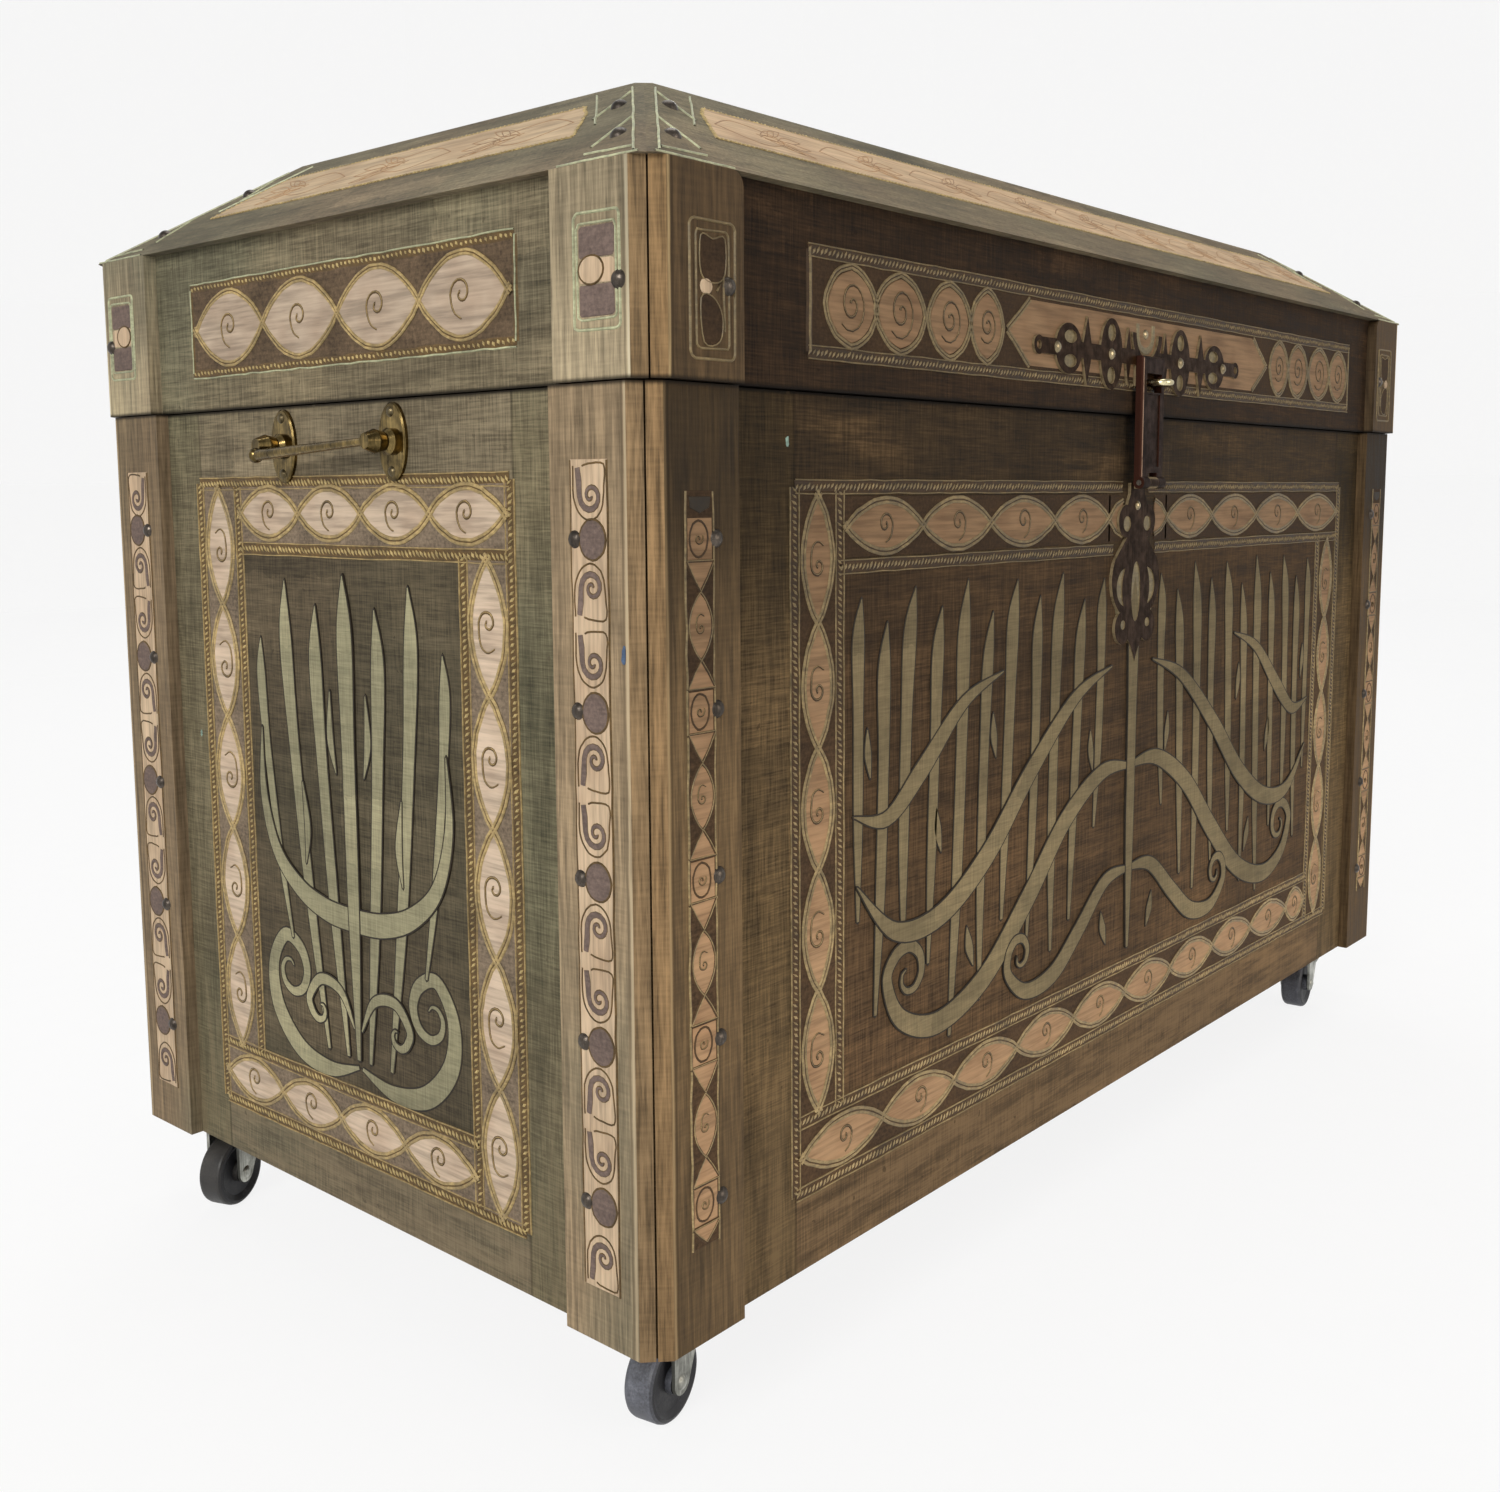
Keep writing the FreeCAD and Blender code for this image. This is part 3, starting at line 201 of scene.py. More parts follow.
def painted_wood(name, tone, grain="x", cross="z", green=None, foot=None, dusk=None, spread=(0.6, 1.45),
                 seam=True, stile=None, worn=()):
    """Thin paint over a linen-like cross weave, brushed in patches, and where asked: paler in spots of wear,
    paler at the foot and darker towards the top, partly the paint's own wear and tone and partly painted light
    and shade, and a painted shade line along the seam.
    """
    mat = Mat(name, 0.7, 0.09)
    warp = mat.noise(800, 3, 0.65, along(grain, 0.05))
    weft = mat.noise(800, 3, 0.65, along(cross, 0.05), (3, 1, 2))
    broad = mat.noise(90, 4, 0.6, along(grain, 0.14), (5, 2, 7))
    if stile:
        # The upright members of the frame are brushed upwards
        middle, start = stile
        upright = mat.noise(90, 4, 0.6, along(cross, 0.14), (2, 6, 1))
        outward = mat.gap(mat.axis(grain.upper()), middle)
        outer = mat.span(outward, start - MM, start + MM)
        broad = mat.mix(outer, broad, upright)
    body = mat.total((0.36, warp), (0.36, weft), (0.28, broad))
    colour = mat.tones(body, tone, spread)
    if green:
        tint = mat.span(mat.noise(3.6, 3, 0.5, shift=(8, 3, 1)), 0.42, 0.62, 0.0, 0.6)
        colour = mat.mix(tint, colour, mat.tones(body, green, spread))
    colour = mat.cloudy(colour, 9)
    brushed = mat.patches([0.11 if axis == grain else 0.045 for axis in "xyz"], (0.3, 0.7, 0.1))
    colour = mat.times(colour, mat.ramp(brushed, *PATCH_TONES))
    height = mat.axis("Z")
    # Paler towards the foot, partly the paint's own wear and partly painted light
    if foot:
        low = mat.span(height, 0.30, 0.09, 0.0, 0.8)
        paler_share = mat.product(low, mat.span(broad, 0.36, 0.6, 0.35, 1.0))
        foot_colour = mat.mix(mat.span(body, 0.42, 0.58), c(*foot), tuple(v * 1.4 for v in c(*foot)))
        colour = mat.mix(paler_share, colour, foot_colour)
    # Darker towards the top, partly the paint's own tone and partly painted shade
    if dusk:
        colour = mat.darker(colour, mat.wavy_height(16), dusk)
    # Painted shade: a near-black line along the seam between body and lid
    if seam:
        colour = mat.mix(mat.near(height, SEAM * MM, 0.0034, 0.9), colour, c(16, 13, 10))
    if stile:
        joint = mat.near(outward, start, 0.0016)
        colour = mat.times(colour, mat.ramp(joint, (0.0, WHITE), (1.0, (0.6,) * 3)))
        colour = mat.mix(outer, colour, mat.times(colour, (0.9, 0.93, 0.88)))
    for place, level, wide, tall, gain in worn:
        spot = mat.product(mat.near(mat.axis(grain.upper()), place, wide), mat.near(height, level, tall))
        paler_share = mat.product(spot, mat.span(broad, 0.36, 0.6, 0.2, 1.0))
        colour = mat.mix(paler_share, colour, mat.times(colour, (gain, gain * 0.97, gain * 0.93)))
    specks = mat.span(mat.noise(150, 2, 0.5, shift=(2, 2, 9)), 0.71, 0.74, 0.0, 0.6)
    colour = mat.mix(specks, colour, shades(tone, *spread)[0])
    return mat.finish(colour, body, 0.7, 0.0007, mat.span(body, 0.38, 0.62, 0.62, 0.78))


def plank_wood(name, tone, bevel, line, green=None, on_lid=False, dusk=None, face_axis="Y"):
    """Upright-grained paint, with a paler bevel, and a pale line of painted highlight and a dark line where the
    bevel starts.
    """
    mat = Mat(name, 0.66, 0.11)
    fine = mat.noise(620, 4, 0.62, along("z", 0.05))
    coarse = mat.noise(230, 4, 0.6, along("z", 0.05), (4, 1, 3))
    cross = mat.noise(520, 2, 0.5, (0.08, 0.08, 1), (1, 1, 1))
    body = mat.total((0.46, fine), (0.42, coarse), (0.12, cross))
    spread, stops = (0.55, 1.5), (0.38, 0.5, 0.61)
    colour = mat.tones(body, tone, spread, stops)
    if green:
        tint = mat.span(mat.noise(5.0, 3, 0.5, along("z", 0.5), (5, 3, 1)), 0.42, 0.62, 0.0, 0.75)
        colour = mat.mix(tint, colour, mat.tones(body, green, (0.6, 1.4), stops))
    nx, ny = mat.facing("X"), mat.facing("Y")
    slanted = mat.span(mat.math("MINIMUM", nx, ny), 0.3, 0.6)
    colour = mat.mix(slanted, colour, mat.tones(body, bevel, (0.45, 1.5), (0.38, 0.5, 0.6)))
    # A pale line of painted highlight, broken up by noise, and a dark one follow the bevel's edge, on the front,
    # back and ends
    over = MM if on_lid else 0.0
    x_in = mat.math("SUBTRACT", HALF * MM + over, mat.math("ABSOLUTE", mat.axis("X")))
    deep = (BACK - FRONT) / 2 * MM + over * 5
    y_in = mat.math("SUBTRACT", deep, mat.gap(mat.axis("Y"), MID * MM))
    inward = mat.mix(mat.span(nx, 0.4, 0.8), x_in, y_in)
    wobble = mat.product(mat.math("SUBTRACT", mat.noise(9, 3, 0.6, along("z", 0.6)), 0.5), 0.005)
    inward = mat.math("ADD", inward, wobble)
    worn = mat.product(mat.near(inward, 0.0143, 0.0016), mat.span(coarse, 0.3, 0.55, 0.3, 1.0))
    colour = mat.mix(worn, colour, c(*line))
    colour = mat.mix(mat.near(inward, 0.0168, 0.0012, 0.7), colour, shades(tone, *spread)[0])
    colour = mat.cloudy(colour, 8, 1.18, along("z", 0.5))
    # Darker towards the top on the flat faces, partly the paint's own tone and partly painted shade
    if dusk:
        flat = mat.span(ny if face_axis == "Y" else nx, 0.8, 0.9)
        colour = mat.mix(flat, colour, mat.darker(colour, mat.wavy_height(20), dusk))
    # Painted shade: a near-black line along the seam between body and lid
    colour = mat.mix(mat.near(mat.axis("Z"), SEAM * MM, 0.003, 0.85), colour, c(22, 17, 12))
    return mat.finish(colour, body, 0.7, 0.0008, mat.span(body, 0.38, 0.62, 0.54, 0.7))


def bare_wood(name, tone, grain="x", dusk=None):
    """Pale washed wood seen through the paint, with fine straight grain."""
    mat = Mat(name, 0.62, 0.15)
    streak = mat.noise(420, 4, 0.6, along(grain, 0.05), (2, 5, 1))
    broad = mat.noise(110, 3, 0.55, along(grain, 0.12), (7, 2, 3))
    body = mat.total((0.6, streak), (0.4, broad))
    colour = mat.tones(body, tone, (0.72, 1.2), (0.39, 0.5, 0.62))
    stains = mat.noise(30, 3, 0.5, shift=(1, 2, 8))
    colour = mat.times(colour, mat.ramp(stains, (0.3, (0.84, 0.8, 0.78)), (0.6, WHITE)))
    # Darker towards the top, partly the wood's own tone and partly painted shade
    if dusk:
        colour = mat.darker(colour, mat.axis("Z"), dusk)
    return mat.finish(colour, body, 0.4, 0.0004)


def brushed_colour(name, tone, rough, spec, scale=260, spread=(0.6, 1.5), dusk=None):
    """Paint laid on in short strokes, for lines, fields and leaves."""
    mat = Mat(name, rough, spec)
    fine = mat.noise(scale, 4, 0.62, shift=(3, 2, 6))
    cross = mat.noise(600, 3, 0.6, (0.1, 0.1, 1), (1, 2, 3))
    cloud = mat.noise(26, 3, 0.6, shift=(4, 5, 6))
    body = mat.total((0.45, fine), (0.25, cross), (0.3, cloud))
    colour = mat.tones(body, tone, spread)
    # Darker towards the top, partly the paint's own tone and partly painted shade
    if dusk:
        colour = mat.darker(colour, mat.axis("Z"), dusk)
    return mat.finish(colour, body, 0.5, 0.0005, mat.span(body, 0.38, 0.62, rough - 0.06, rough + 0.1))


def front_and_end(name, front, end, *rest):
    """One paint in two tones: on the front darker and warmer, and darker still towards the top, partly the
    paint's own tone and partly painted shade; even on the ends.
    """
    return brushed_colour(name + "_front", front, *rest, dusk=FALL), brushed_colour(name, end, *rest)


def aged_metal(name, tone, rough, metal=1.0, scale=90, spread=(0.5, 1.7), edges=(), spec=0.5, relief=0.3):
    """Handled metal: clouded tarnish, fine scratches, smoother and brighter places, and painted highlights on
    the edges that are given.
    """
    mat = Mat(name, rough, spec, metal)
    cloud = mat.noise(scale, 4, 0.6, shift=(3, 1, 2))
    lines = mat.noise(900, 3, 0.6, (1, 1, 0.06), (1, 8, 2))
    pits = mat.noise(1400, 2, 0.5, shift=(6, 1, 2))
    body = mat.total((0.65, cloud), (0.35, lines))
    colour = mat.tones(body, tone, spread, (0.38, 0.51, 0.64))
    for share, edge_colour in edges:
        colour = mat.mix(share(mat), colour, edge_colour)
    height = mat.total((0.5, lines), (0.5, pits))
    polish = mat.span(body, 0.38, 0.64, rough + 0.14, max(0.05, rough - 0.08))
    return mat.finish(colour, height, relief, 0.0003, polish)


def slanted_sides(mat):
    """Share that is full on the strap's bevels and upright sides."""
    return mat.span(mat.facing("X"), 0.3, 0.5)


def bevel_highlight(mat):
    """Share of a painted copper highlight in a line along the middle of the strap's left bevel."""
    line = mat.near(mat.axis("X"), -0.0158, 0.0014)
    worn = mat.span(mat.noise(160, 3, 0.6), 0.34, 0.52, 0.4, 0.85)
    return mat.product(mat.product(slanted_sides(mat), line), worn)


def rim_highlights(mat):
    """Share of painted highlight in bright metal on the sawn edges of a pierced plate."""
    worn = mat.span(mat.noise(240, 3, 0.6), 0.3, 0.55, 0.45, 1.0)
    return mat.product(mat.span(mat.facing("Y"), 0.9, 0.6), worn)


def wheel_rubber(name, heading, tone):
    """Grey tread and black sides; the heading in degrees gives the axle's direction."""
    mat = Mat(name, 0.55, 0.4)
    fine = mat.noise(700, 3, 0.6, shift=(2, 2, 2))
    body = mat.total((0.6, mat.noise(70, 5, 0.6)), (0.4, fine))
    axle = (-math.sin(math.radians(heading)), math.cos(math.radians(heading)), 0)
    turned = mat.vector("DOT_PRODUCT", mat.coord.outputs["Normal"], axle)
    side = mat.span(mat.math("ABSOLUTE", turned), 0.55, 0.9)
    stops = (0.38, 0.52, 0.66)
    tread = mat.tones(body, tone, (0.48, 1.72), stops)
    black = mat.ramp(body, *zip(stops, (c(20, 20, 22), c(30, 30, 34), c(52, 52, 56))))
    colour = mat.mix(side, tread, black)
    return mat.finish(colour, fine, 0.3, 0.0004, mat.span(body, 0.38, 0.62, 0.42, 0.7))


# Where paint gets darker with height, partly its own tone and partly painted shade: from, to, and the share that
# is left
FALL, LATE = (0.28, 0.5, 0.55), (0.42, 0.545, 0.33)
RAIL_DUSK, END_DUSK = (0.44, 0.57, 0.3), (0.48, 0.58, 0.82)
# Middle of a side and the distance from it where the upright members start
FRONT_STILE, END_STILE = (0.0, 0.412), (MID * MM, 0.163)
# Rubbed places of the front: place, height, reach along and up, and gain of light
FRONT_WEAR = (
    (-0.365, 0.572, 0.075, 0.02, 1.7), (-0.075, 0.553, 0.07, 0.014, 1.55), (0.14, 0.571, 0.1, 0.024, 1.25),
    (0.3, 0.1, 0.16, 0.03, 1.2), (-0.33, 0.553, 0.05, 0.012, 1.4))
CLEAR, SOFT = (0.5, 1.6), (0.72, 1.28)

# Painted wood of the boards and planks; the front's tones are darker and browner than the ends', partly the
# paint's own colour and partly painted shade
FRONT_BOARD = painted_wood("front_board_paint", (95, 77, 55), foot=(110, 90, 66), dusk=LATE,
                           spread=(0.4, 1.8), stile=FRONT_STILE, worn=FRONT_WEAR)
END_BOARD = painted_wood("end_board_paint", (111, 101, 82), "y", green=(93, 91, 74), foot=(108, 96, 77),
                         spread=CLEAR, stile=END_STILE)
# The lid's front board is very dark, partly its own paint and partly painted shade under the eave
LID_BOARD = painted_wood("lid_front_paint", (46, 34, 23), spread=(0.38, 1.95))
LID_END = painted_wood("lid_end_paint", (112, 102, 82), "y", green=(97, 97, 79), spread=CLEAR)
BACK_BOARD = painted_wood("back_board_paint", (94, 84, 66), green=(86, 87, 70), foot=(110, 96, 75))
BOTTOM = painted_wood("bottom_board_wood", (124, 102, 76), "x", "y")
ROOF = painted_wood("roof_paint", (112, 100, 81), "x", "y", green=(98, 95, 78), spread=CLEAR, seam=False)
ROOF_END = painted_wood("roof_end_paint", (112, 100, 82), "y", "x", green=(98, 96, 80), spread=CLEAR,
                        seam=False)
# Paints of the planks; the far copies are darker, as painted shade on the planks far from the camera
PLANKS = {
    "front": plank_wood("front_plank_paint", (104, 85, 60), (126, 102, 72), (160, 136, 100), dusk=RAIL_DUSK),
    "front_far": plank_wood("far_front_plank_paint", (83, 66, 45), (112, 90, 62), (140, 116, 84),
                            dusk=RAIL_DUSK),
    "end": plank_wood("end_plank_paint", (144, 125, 99), (122, 101, 74), (182, 164, 134),
                      green=(120, 118, 98), dusk=END_DUSK, face_axis="X"),
    "end_far": plank_wood("far_end_plank_paint", (120, 103, 81), (108, 88, 64), (160, 142, 114),
                          green=(102, 100, 82), dusk=END_DUSK, face_axis="X"),
    "lid_front": plank_wood("lid_front_plank_paint", (77, 62, 44), (118, 95, 66), (158, 136, 100),
                            on_lid=True),
    "lid_end": plank_wood("lid_end_plank_paint", (156, 142, 116), (112, 92, 66), (196, 184, 156),
                          green=(124, 128, 108), on_lid=True, dusk=(0.615, 0.69, 0.68), face_axis="X"),
}
FAR_PLANKS = ("front_right_plank", "left_back_plank", "right_back_plank")

# Paints of the ornament; a pair has one tone for the front and one for the ends, the front's darker and warmer,
# partly its own colour and partly painted shade
PALE = (bare_wood("pale_wood_front", (176, 142, 107), "x", FALL),
        bare_wood("pale_wood_end", (196, 176, 154), "y", (0.46, 0.6, 0.76)))
ROOF_PALE = (bare_wood("pale_wood_roof", (186, 160, 128), "x"),
             bare_wood("pale_wood_roof_end", (180, 158, 128), "y"))
PLANK_PALE = bare_wood("pale_wood_plank", (193, 170, 142), "z")
GOLD = front_and_end("gold_paint", (146, 127, 90), (154, 133, 90), 0.44, 0.3, 260, (0.62, 1.6))
ROPE = front_and_end("rope_paint", (158, 138, 100), (172, 152, 104), 0.46, 0.3)
BROWN = front_and_end("brown_line_paint", (78, 58, 36), (90, 71, 43), 0.5, 0.2)
MAUVE = front_and_end("mauve_paint", (80, 62, 45), (116, 102, 86), 0.68, 0.1, 420, (0.55, 1.5))
LID_MAUVE = brushed_colour("lid_end_mauve_paint", (90, 75, 59), 0.68, 0.1, 420, (0.55, 1.55))
PLANK_MAUVE = brushed_colour("plank_mauve_paint", (106, 91, 84), 0.66, 0.15, 420, (0.7, 1.35))
OLIVE = brushed_colour("olive_paint", (116, 104, 76), 0.5, 0.3)
BLUE = brushed_colour("blue_chip_paint", (74, 92, 118), 0.6, 0.2)
MINT = brushed_colour("mint_chip_paint", (126, 150, 138), 0.6, 0.2)
INK = brushed_colour("dark_outline_paint", (42, 35, 26), 0.6, 0.25)
TEAL = brushed_colour("green_gold_paint", (164, 166, 134), 0.45, 0.45)
HAIR = brushed_colour("incised_line_paint", (146, 112, 76), 0.6, 0.25)
SAGE = (painted_wood("sage_leaf_paint_front", (130, 117, 89), dusk=(0.22, 0.46, 0.78), spread=SOFT, seam=False),
        painted_wood("sage_leaf_paint", (143, 138, 111), "y", spread=SOFT, seam=False))
FIELD = painted_wood("front_field_paint", (91, 71, 50), dusk=(0.2, 0.44, 0.54), spread=(0.42, 1.7), seam=False)
FIELD_END = painted_wood("end_field_paint", (82, 73, 58), "y", green=(78, 73, 58), spread=CLEAR, seam=False)

# Metals
STUD = aged_metal("stud_iron", (74, 67, 60), 0.3, 0.85)
BRASS = aged_metal("handle_brass", (106, 90, 56), 0.14, 1.0, 60, (0.3, 2.2), relief=0.1)
SCREW = aged_metal("screw_metal", (92, 81, 58), 0.3, 0.9)
# Painted highlights in bright metal on the sawn edges of the hasp plates
RIMS = ((rim_highlights, c(134, 118, 90)),)
BRONZE = aged_metal("hasp_bronze", (42, 27, 14), 0.44, 0.15, 120, (0.5, 1.9), RIMS, 0.04)
# Painted highlights on the strap: lighter copper on its bevels and sides, and a bright copper line on its left
# bevel
BEVELS = ((slanted_sides, c(58, 34, 26)), (bevel_highlight, c(200, 168, 142)))
STRAP = aged_metal("strap_bronze", (36, 22, 14), 0.4, 0.15, 120, (0.5, 1.9), BEVELS, 0.04)
NAIL = aged_metal("plate_nail_metal", (140, 126, 98), 0.2, 0.9)
STAPLE = aged_metal("staple_brass", (206, 194, 156), 0.18, 1.0, 60, relief=0.1)
STEEL = aged_metal("dull_steel", (128, 122, 112), 0.4)
ZINC = aged_metal("zinc_plate", (146, 146, 138), 0.36, 1.0, 70)

# Casters: heading in degrees and colour of the tread; the back treads are darker as painted shade under the
# chest
FRONT_TREAD, BACK_TREAD = (94, 96, 104), (54, 52, 50)
CASTERS = {"front_left": (190.6, FRONT_TREAD), "front_right": (186.5, FRONT_TREAD),
           "back_left": (201.0, BACK_TREAD), "back_right": (194.0, BACK_TREAD)}

DRESSED = (
    (FRONT_BOARD, "front_board"), (END_BOARD, "left_end_board right_end_board"), (BOTTOM, "bottom_board"),
    (BACK_BOARD, "back_board lid_back_board"), (LID_BOARD, "lid_front_board"),
    (LID_END, "lid_left_board lid_right_board"), (ROOF, "lid_front_slope lid_back_slope lid_top_panel"),
    (ROOF_END, "lid_left_slope lid_right_slope"), (STUD, "body_studs lid_studs"),
    (BRASS, "handle_plates left_handle_bar right_handle_bar"), (STAPLE, "lid_staple"),
    (BRONZE, "hasp_base_plate lid_hasp_plate"), (STRAP, "hasp_strap"),
    (NAIL, "hasp_base_nail lid_plate_nails"), (SCREW, "body_screws lid_screws"),
    (STEEL, "hinge_body_leaves hinge_lid_leaves hinge_pins"), (ZINC, "caster_plates caster_kingpins"),
)


def dress(name, material):
    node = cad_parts[name]
    for index in range(max(1, len(node.data.materials))):
        if index < len(node.material_slots):
            node.material_slots[index].material = material
        else:
            node.data.materials.append(material)


def dress_nodes():
    """Gives every node of the CAD its material."""
    for material, names in DRESSED:
        for name in names.split():
            dress(name, material)
    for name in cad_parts:
        if name.endswith("_plank"):
            side = name.replace("lid_", "").split("_")[0]
            kind = "front" if side in ("front", "back") else "end"
            if name.startswith("lid_"):
                kind = "lid_" + kind
            elif name in FAR_PLANKS:
                kind += "_far"
            dress(name, PLANKS[kind])
    for corner, (heading, tread) in CASTERS.items():
        dress(corner + "_caster_fork", ZINC)
        dress(corner + "_caster_axle", ZINC)
        dress(corner + "_caster_wheel", wheel_rubber(corner + "_rubber", heading, tread))


# Raised paint: the name of its sheet, its material or pair of materials, and its slot

P_GOLD, P_BROWN, P_MAUVE = ("gold_lines", GOLD), ("brown_lines", BROWN), ("mauve_fields", MAUVE)
P_ROPE, P_INK, P_TEAL = ("rope_strokes", ROPE), ("dark_outlines", INK), ("green_gold_lines", TEAL)
P_PALE, P_SAGE, P_OLIVE = ("pale_fields", PALE), ("sage_leaves", SAGE), ("olive_fields", OLIVE)
P_BLUE, P_MINT, P_LID_MAUVE = ("blue_chips", BLUE), ("mint_chips", MINT), ("lid_mauve_field", LID_MAUVE)
P_FIELD, P_FIELD_END = ("front_field", FIELD), ("end_field", FIELD_END)
P_ROOF_GOLD = ("roof_gold_lines", GOLD[1], "carved_roof")
P_ROOF_ROPE = ("roof_rope_strokes", ROPE[1], "carved_roof")
P_ROOF_PALE, P_HAIR = ("roof_pale", ROOF_PALE, "carved_roof"), ("incised_lines", HAIR, "carved_roof")
P_PLANK, P_BLOB = ("pale_plank_bands", PLANK_PALE, "painted_plank"), ("dark_blobs", INK, "painted_plank")
P_PLANK_MAUVE = ("plank_mauve_shapes", PLANK_MAUVE, "painted_plank")
P_FRONT_PALE = ("pale_front_bands", PALE[0], "painted_plank")
P_DARK_BAND = ("dark_plank_bands", MAUVE[0], "painted_plank")


class Face:
    """A plane that carries ornament, with its own right and up directions, in millimetres."""

    def __init__(self, origin, right, up, out, body, relief=1.0):
        self.origin, self.right = Vector(origin), Vector(right).normalized()
        self.up, self.out = Vector(up).normalized(), Vector(out).normalized()
        self.body, self.relief = body, relief
        self.flip = self.right.cross(self.up).dot(self.out) < 0
        self.on_end = abs(self.right.y) > 0.5

    def at(self, u, v, lift):
        return (self.origin + self.right * u + self.up * v + self.out * lift * self.relief) * MM


ALONG, DEEP, UP = (1, 0, 0), (0, 1, 0), (0, 0, 1)
FORWARD, LEFTWARD = (0, -1, 0), (-1, 0, 0)
FACES = {
    "front": Face((-HALF, FRONT + SUNK, BASE), ALONG, UP, FORWARD, "chest"),
    "left": Face((-HALF + SUNK, FRONT, BASE), DEEP, UP, LEFTWARD, "chest"),
    "right": Face((HALF - SUNK, FRONT, BASE), DEEP, UP, ALONG, "chest"),
    "lid_front": Face((-HALF, LID_FRONT + SUNK, BASE), ALONG, UP, FORWARD, "lid"),
    "lid_left": Face((-LID_HALF + SUNK, FRONT, BASE), DEEP, UP, LEFTWARD, "lid"),
    "lid_right": Face((LID_HALF - SUNK, FRONT, BASE), DEEP, UP, ALONG, "lid"),
}
# The flat top's paint is the highest place of the chest, so it is laid on thinly
TOP_RELIEF = 0.1


def plank_faces(x_out, y_front, y_back, body):
    """Faces of the eight corner planks; u runs inward from the chest's corner."""
    faces = []
    for sx in (-1, 1):
        for y, sy in ((y_front, 1), (y_back, -1)):
            corner = (sx * x_out, y, BASE)
            faces.append(Face(corner, (-sx, 0, 0), UP, (0, -sy, 0), body))
            faces.append(Face(corner, (0, sy, 0), UP, (sx, 0, 0), body))
    return faces


def slope_faces():
    """The four slopes and their lengths; u runs along the eave and v up the slope."""
    wide, deep = 2 * LID_HALF, LID_BACK - LID_FRONT
    faces = []
    for x, y, right, inward, length in ((-LID_HALF, LID_FRONT, (1, 0, 0), (0, 1), wide),
                                        (LID_HALF, LID_BACK, (-1, 0, 0), (0, -1), wide),
                                        (-LID_HALF, LID_FRONT, (0, 1, 0), (1, 0), deep),
                                        (LID_HALF, LID_FRONT, (0, 1, 0), (-1, 0), deep)):
        up = (inward[0] * SLOPE_RUN, inward[1] * SLOPE_RUN, SLOPE_RISE)
        out = (-inward[0] * SLOPE_RISE, -inward[1] * SLOPE_RISE, SLOPE_RUN)
        faces.append((Face((x, y, EAVE), right, up, out, "lid"), length))
    return faces


class Sheet:
    """Shapes of one material on one body, gathered in one mesh."""
    made = {}

    def __init__(self, name, material, body, slot):
        self.name, self.material, self.body, self.slot = name, material, body, slot
        self.verts, self.faces = [], []

    @classmethod
    def of(cls, face, paint):
        """Sheet of a paint on a face's body."""
        name, material, slot = (*paint, "painted_board")[:3]
        if isinstance(material, tuple):
            name, material = (name + "_end", material[1]) if face.on_end else (name, material[0])
        key = face.body + "_" + name
        if key not in cls.made:
            cls.made[key] = cls(key, material, face.body, slot)
        return cls.made[key]

    def add(self, face, points, quads):
        """Points are (u, v, lift); quads are index lists, seen from outside in u-v order."""
        start = len(self.verts)
        self.verts += [tuple(face.at(*point)) for point in points]
        for quad in quads:
            order = quad[::-1] if face.flip else quad
            self.faces.append([start + index for index in order])

    def build(self):
        mesh = bpy.data.meshes.new(self.name)
        mesh.from_pydata(self.verts, [], self.faces)
        mesh.materials.append(self.material)
        mesh.validate()
        mesh.update()
        piece = bpy.data.objects.new(self.name, mesh)
        bpy.context.scene.collection.objects.link(piece)
        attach(piece, self.body)


# Lines and outlines in u and v

def box(u0, v0, u1, v1):
    return [(u0, v0), (u1, v0), (u1, v1), (u0, v1)]


def circle(u, v, a, b=None, count=20):
    return [(u + a * math.cos(2 * math.pi * k / count), v + (b or a) * math.sin(2 * math.pi * k / count))
            for k in range(count)]


def rounded(u0, u1, v0, v1, r=3.0):
    """Rectangle with rounded corners."""
    corners = ((u1 - r, v0 + r, -90), (u1 - r, v1 - r, 0), (u0 + r, v1 - r, 90), (u0 + r, v0 + r, 180))
    points = []
    for cu, cv, start in corners:
        for k in range(4):
            a = math.radians(start + 30 * k)
            points.append((cu + r * math.cos(a), cv + r * math.sin(a)))
    return points


def sides_of(points):
    """Each side of a closed outline, as its two ends."""
    return list(zip(points, points[1:] + points[:1]))


def moved(points, du, dv):
    return [(u + du, v + dv) for u, v in points]


def curve(points, steps=8, closed=False):
    """Smooth line through points."""
    n = len(points)
    out = []
    for i in range(n if closed else n - 1):
        p = []
        for k in (-1, 0, 1, 2):
            index = (i + k) % n if closed else min(max(i + k, 0), n - 1)
            p.append(points[index])
        for s in range(steps):
            t = s / steps
            out.append(tuple(
                0.5 * (2 * p[1][a] + (p[2][a] - p[0][a]) * t
                       + (2 * p[0][a] - 5 * p[1][a] + 4 * p[2][a] - p[3][a]) * t * t
                       + (3 * p[1][a] - p[0][a] - 3 * p[2][a] + p[3][a]) * t ** 3)
                for a in (0, 1)))
    if not closed:
        out.append(tuple(points[-1]))
    return out


def shaken(points, amount):
    return [(u + rng.uniform(-amount, amount), v + rng.uniform(-amount, amount)) for u, v in points]


def straight(a, b, step=9.0):
    parts = max(2, int(math.hypot(b[0] - a[0], b[1] - a[1]) / step) + 1) - 1
    return [(a[0] + (b[0] - a[0]) * i / parts, a[1] + (b[1] - a[1]) * i / parts) for i in range(parts + 1)]


def evenly(low, high, count):
    return [low + (high - low) * i / count for i in range(count + 1)]


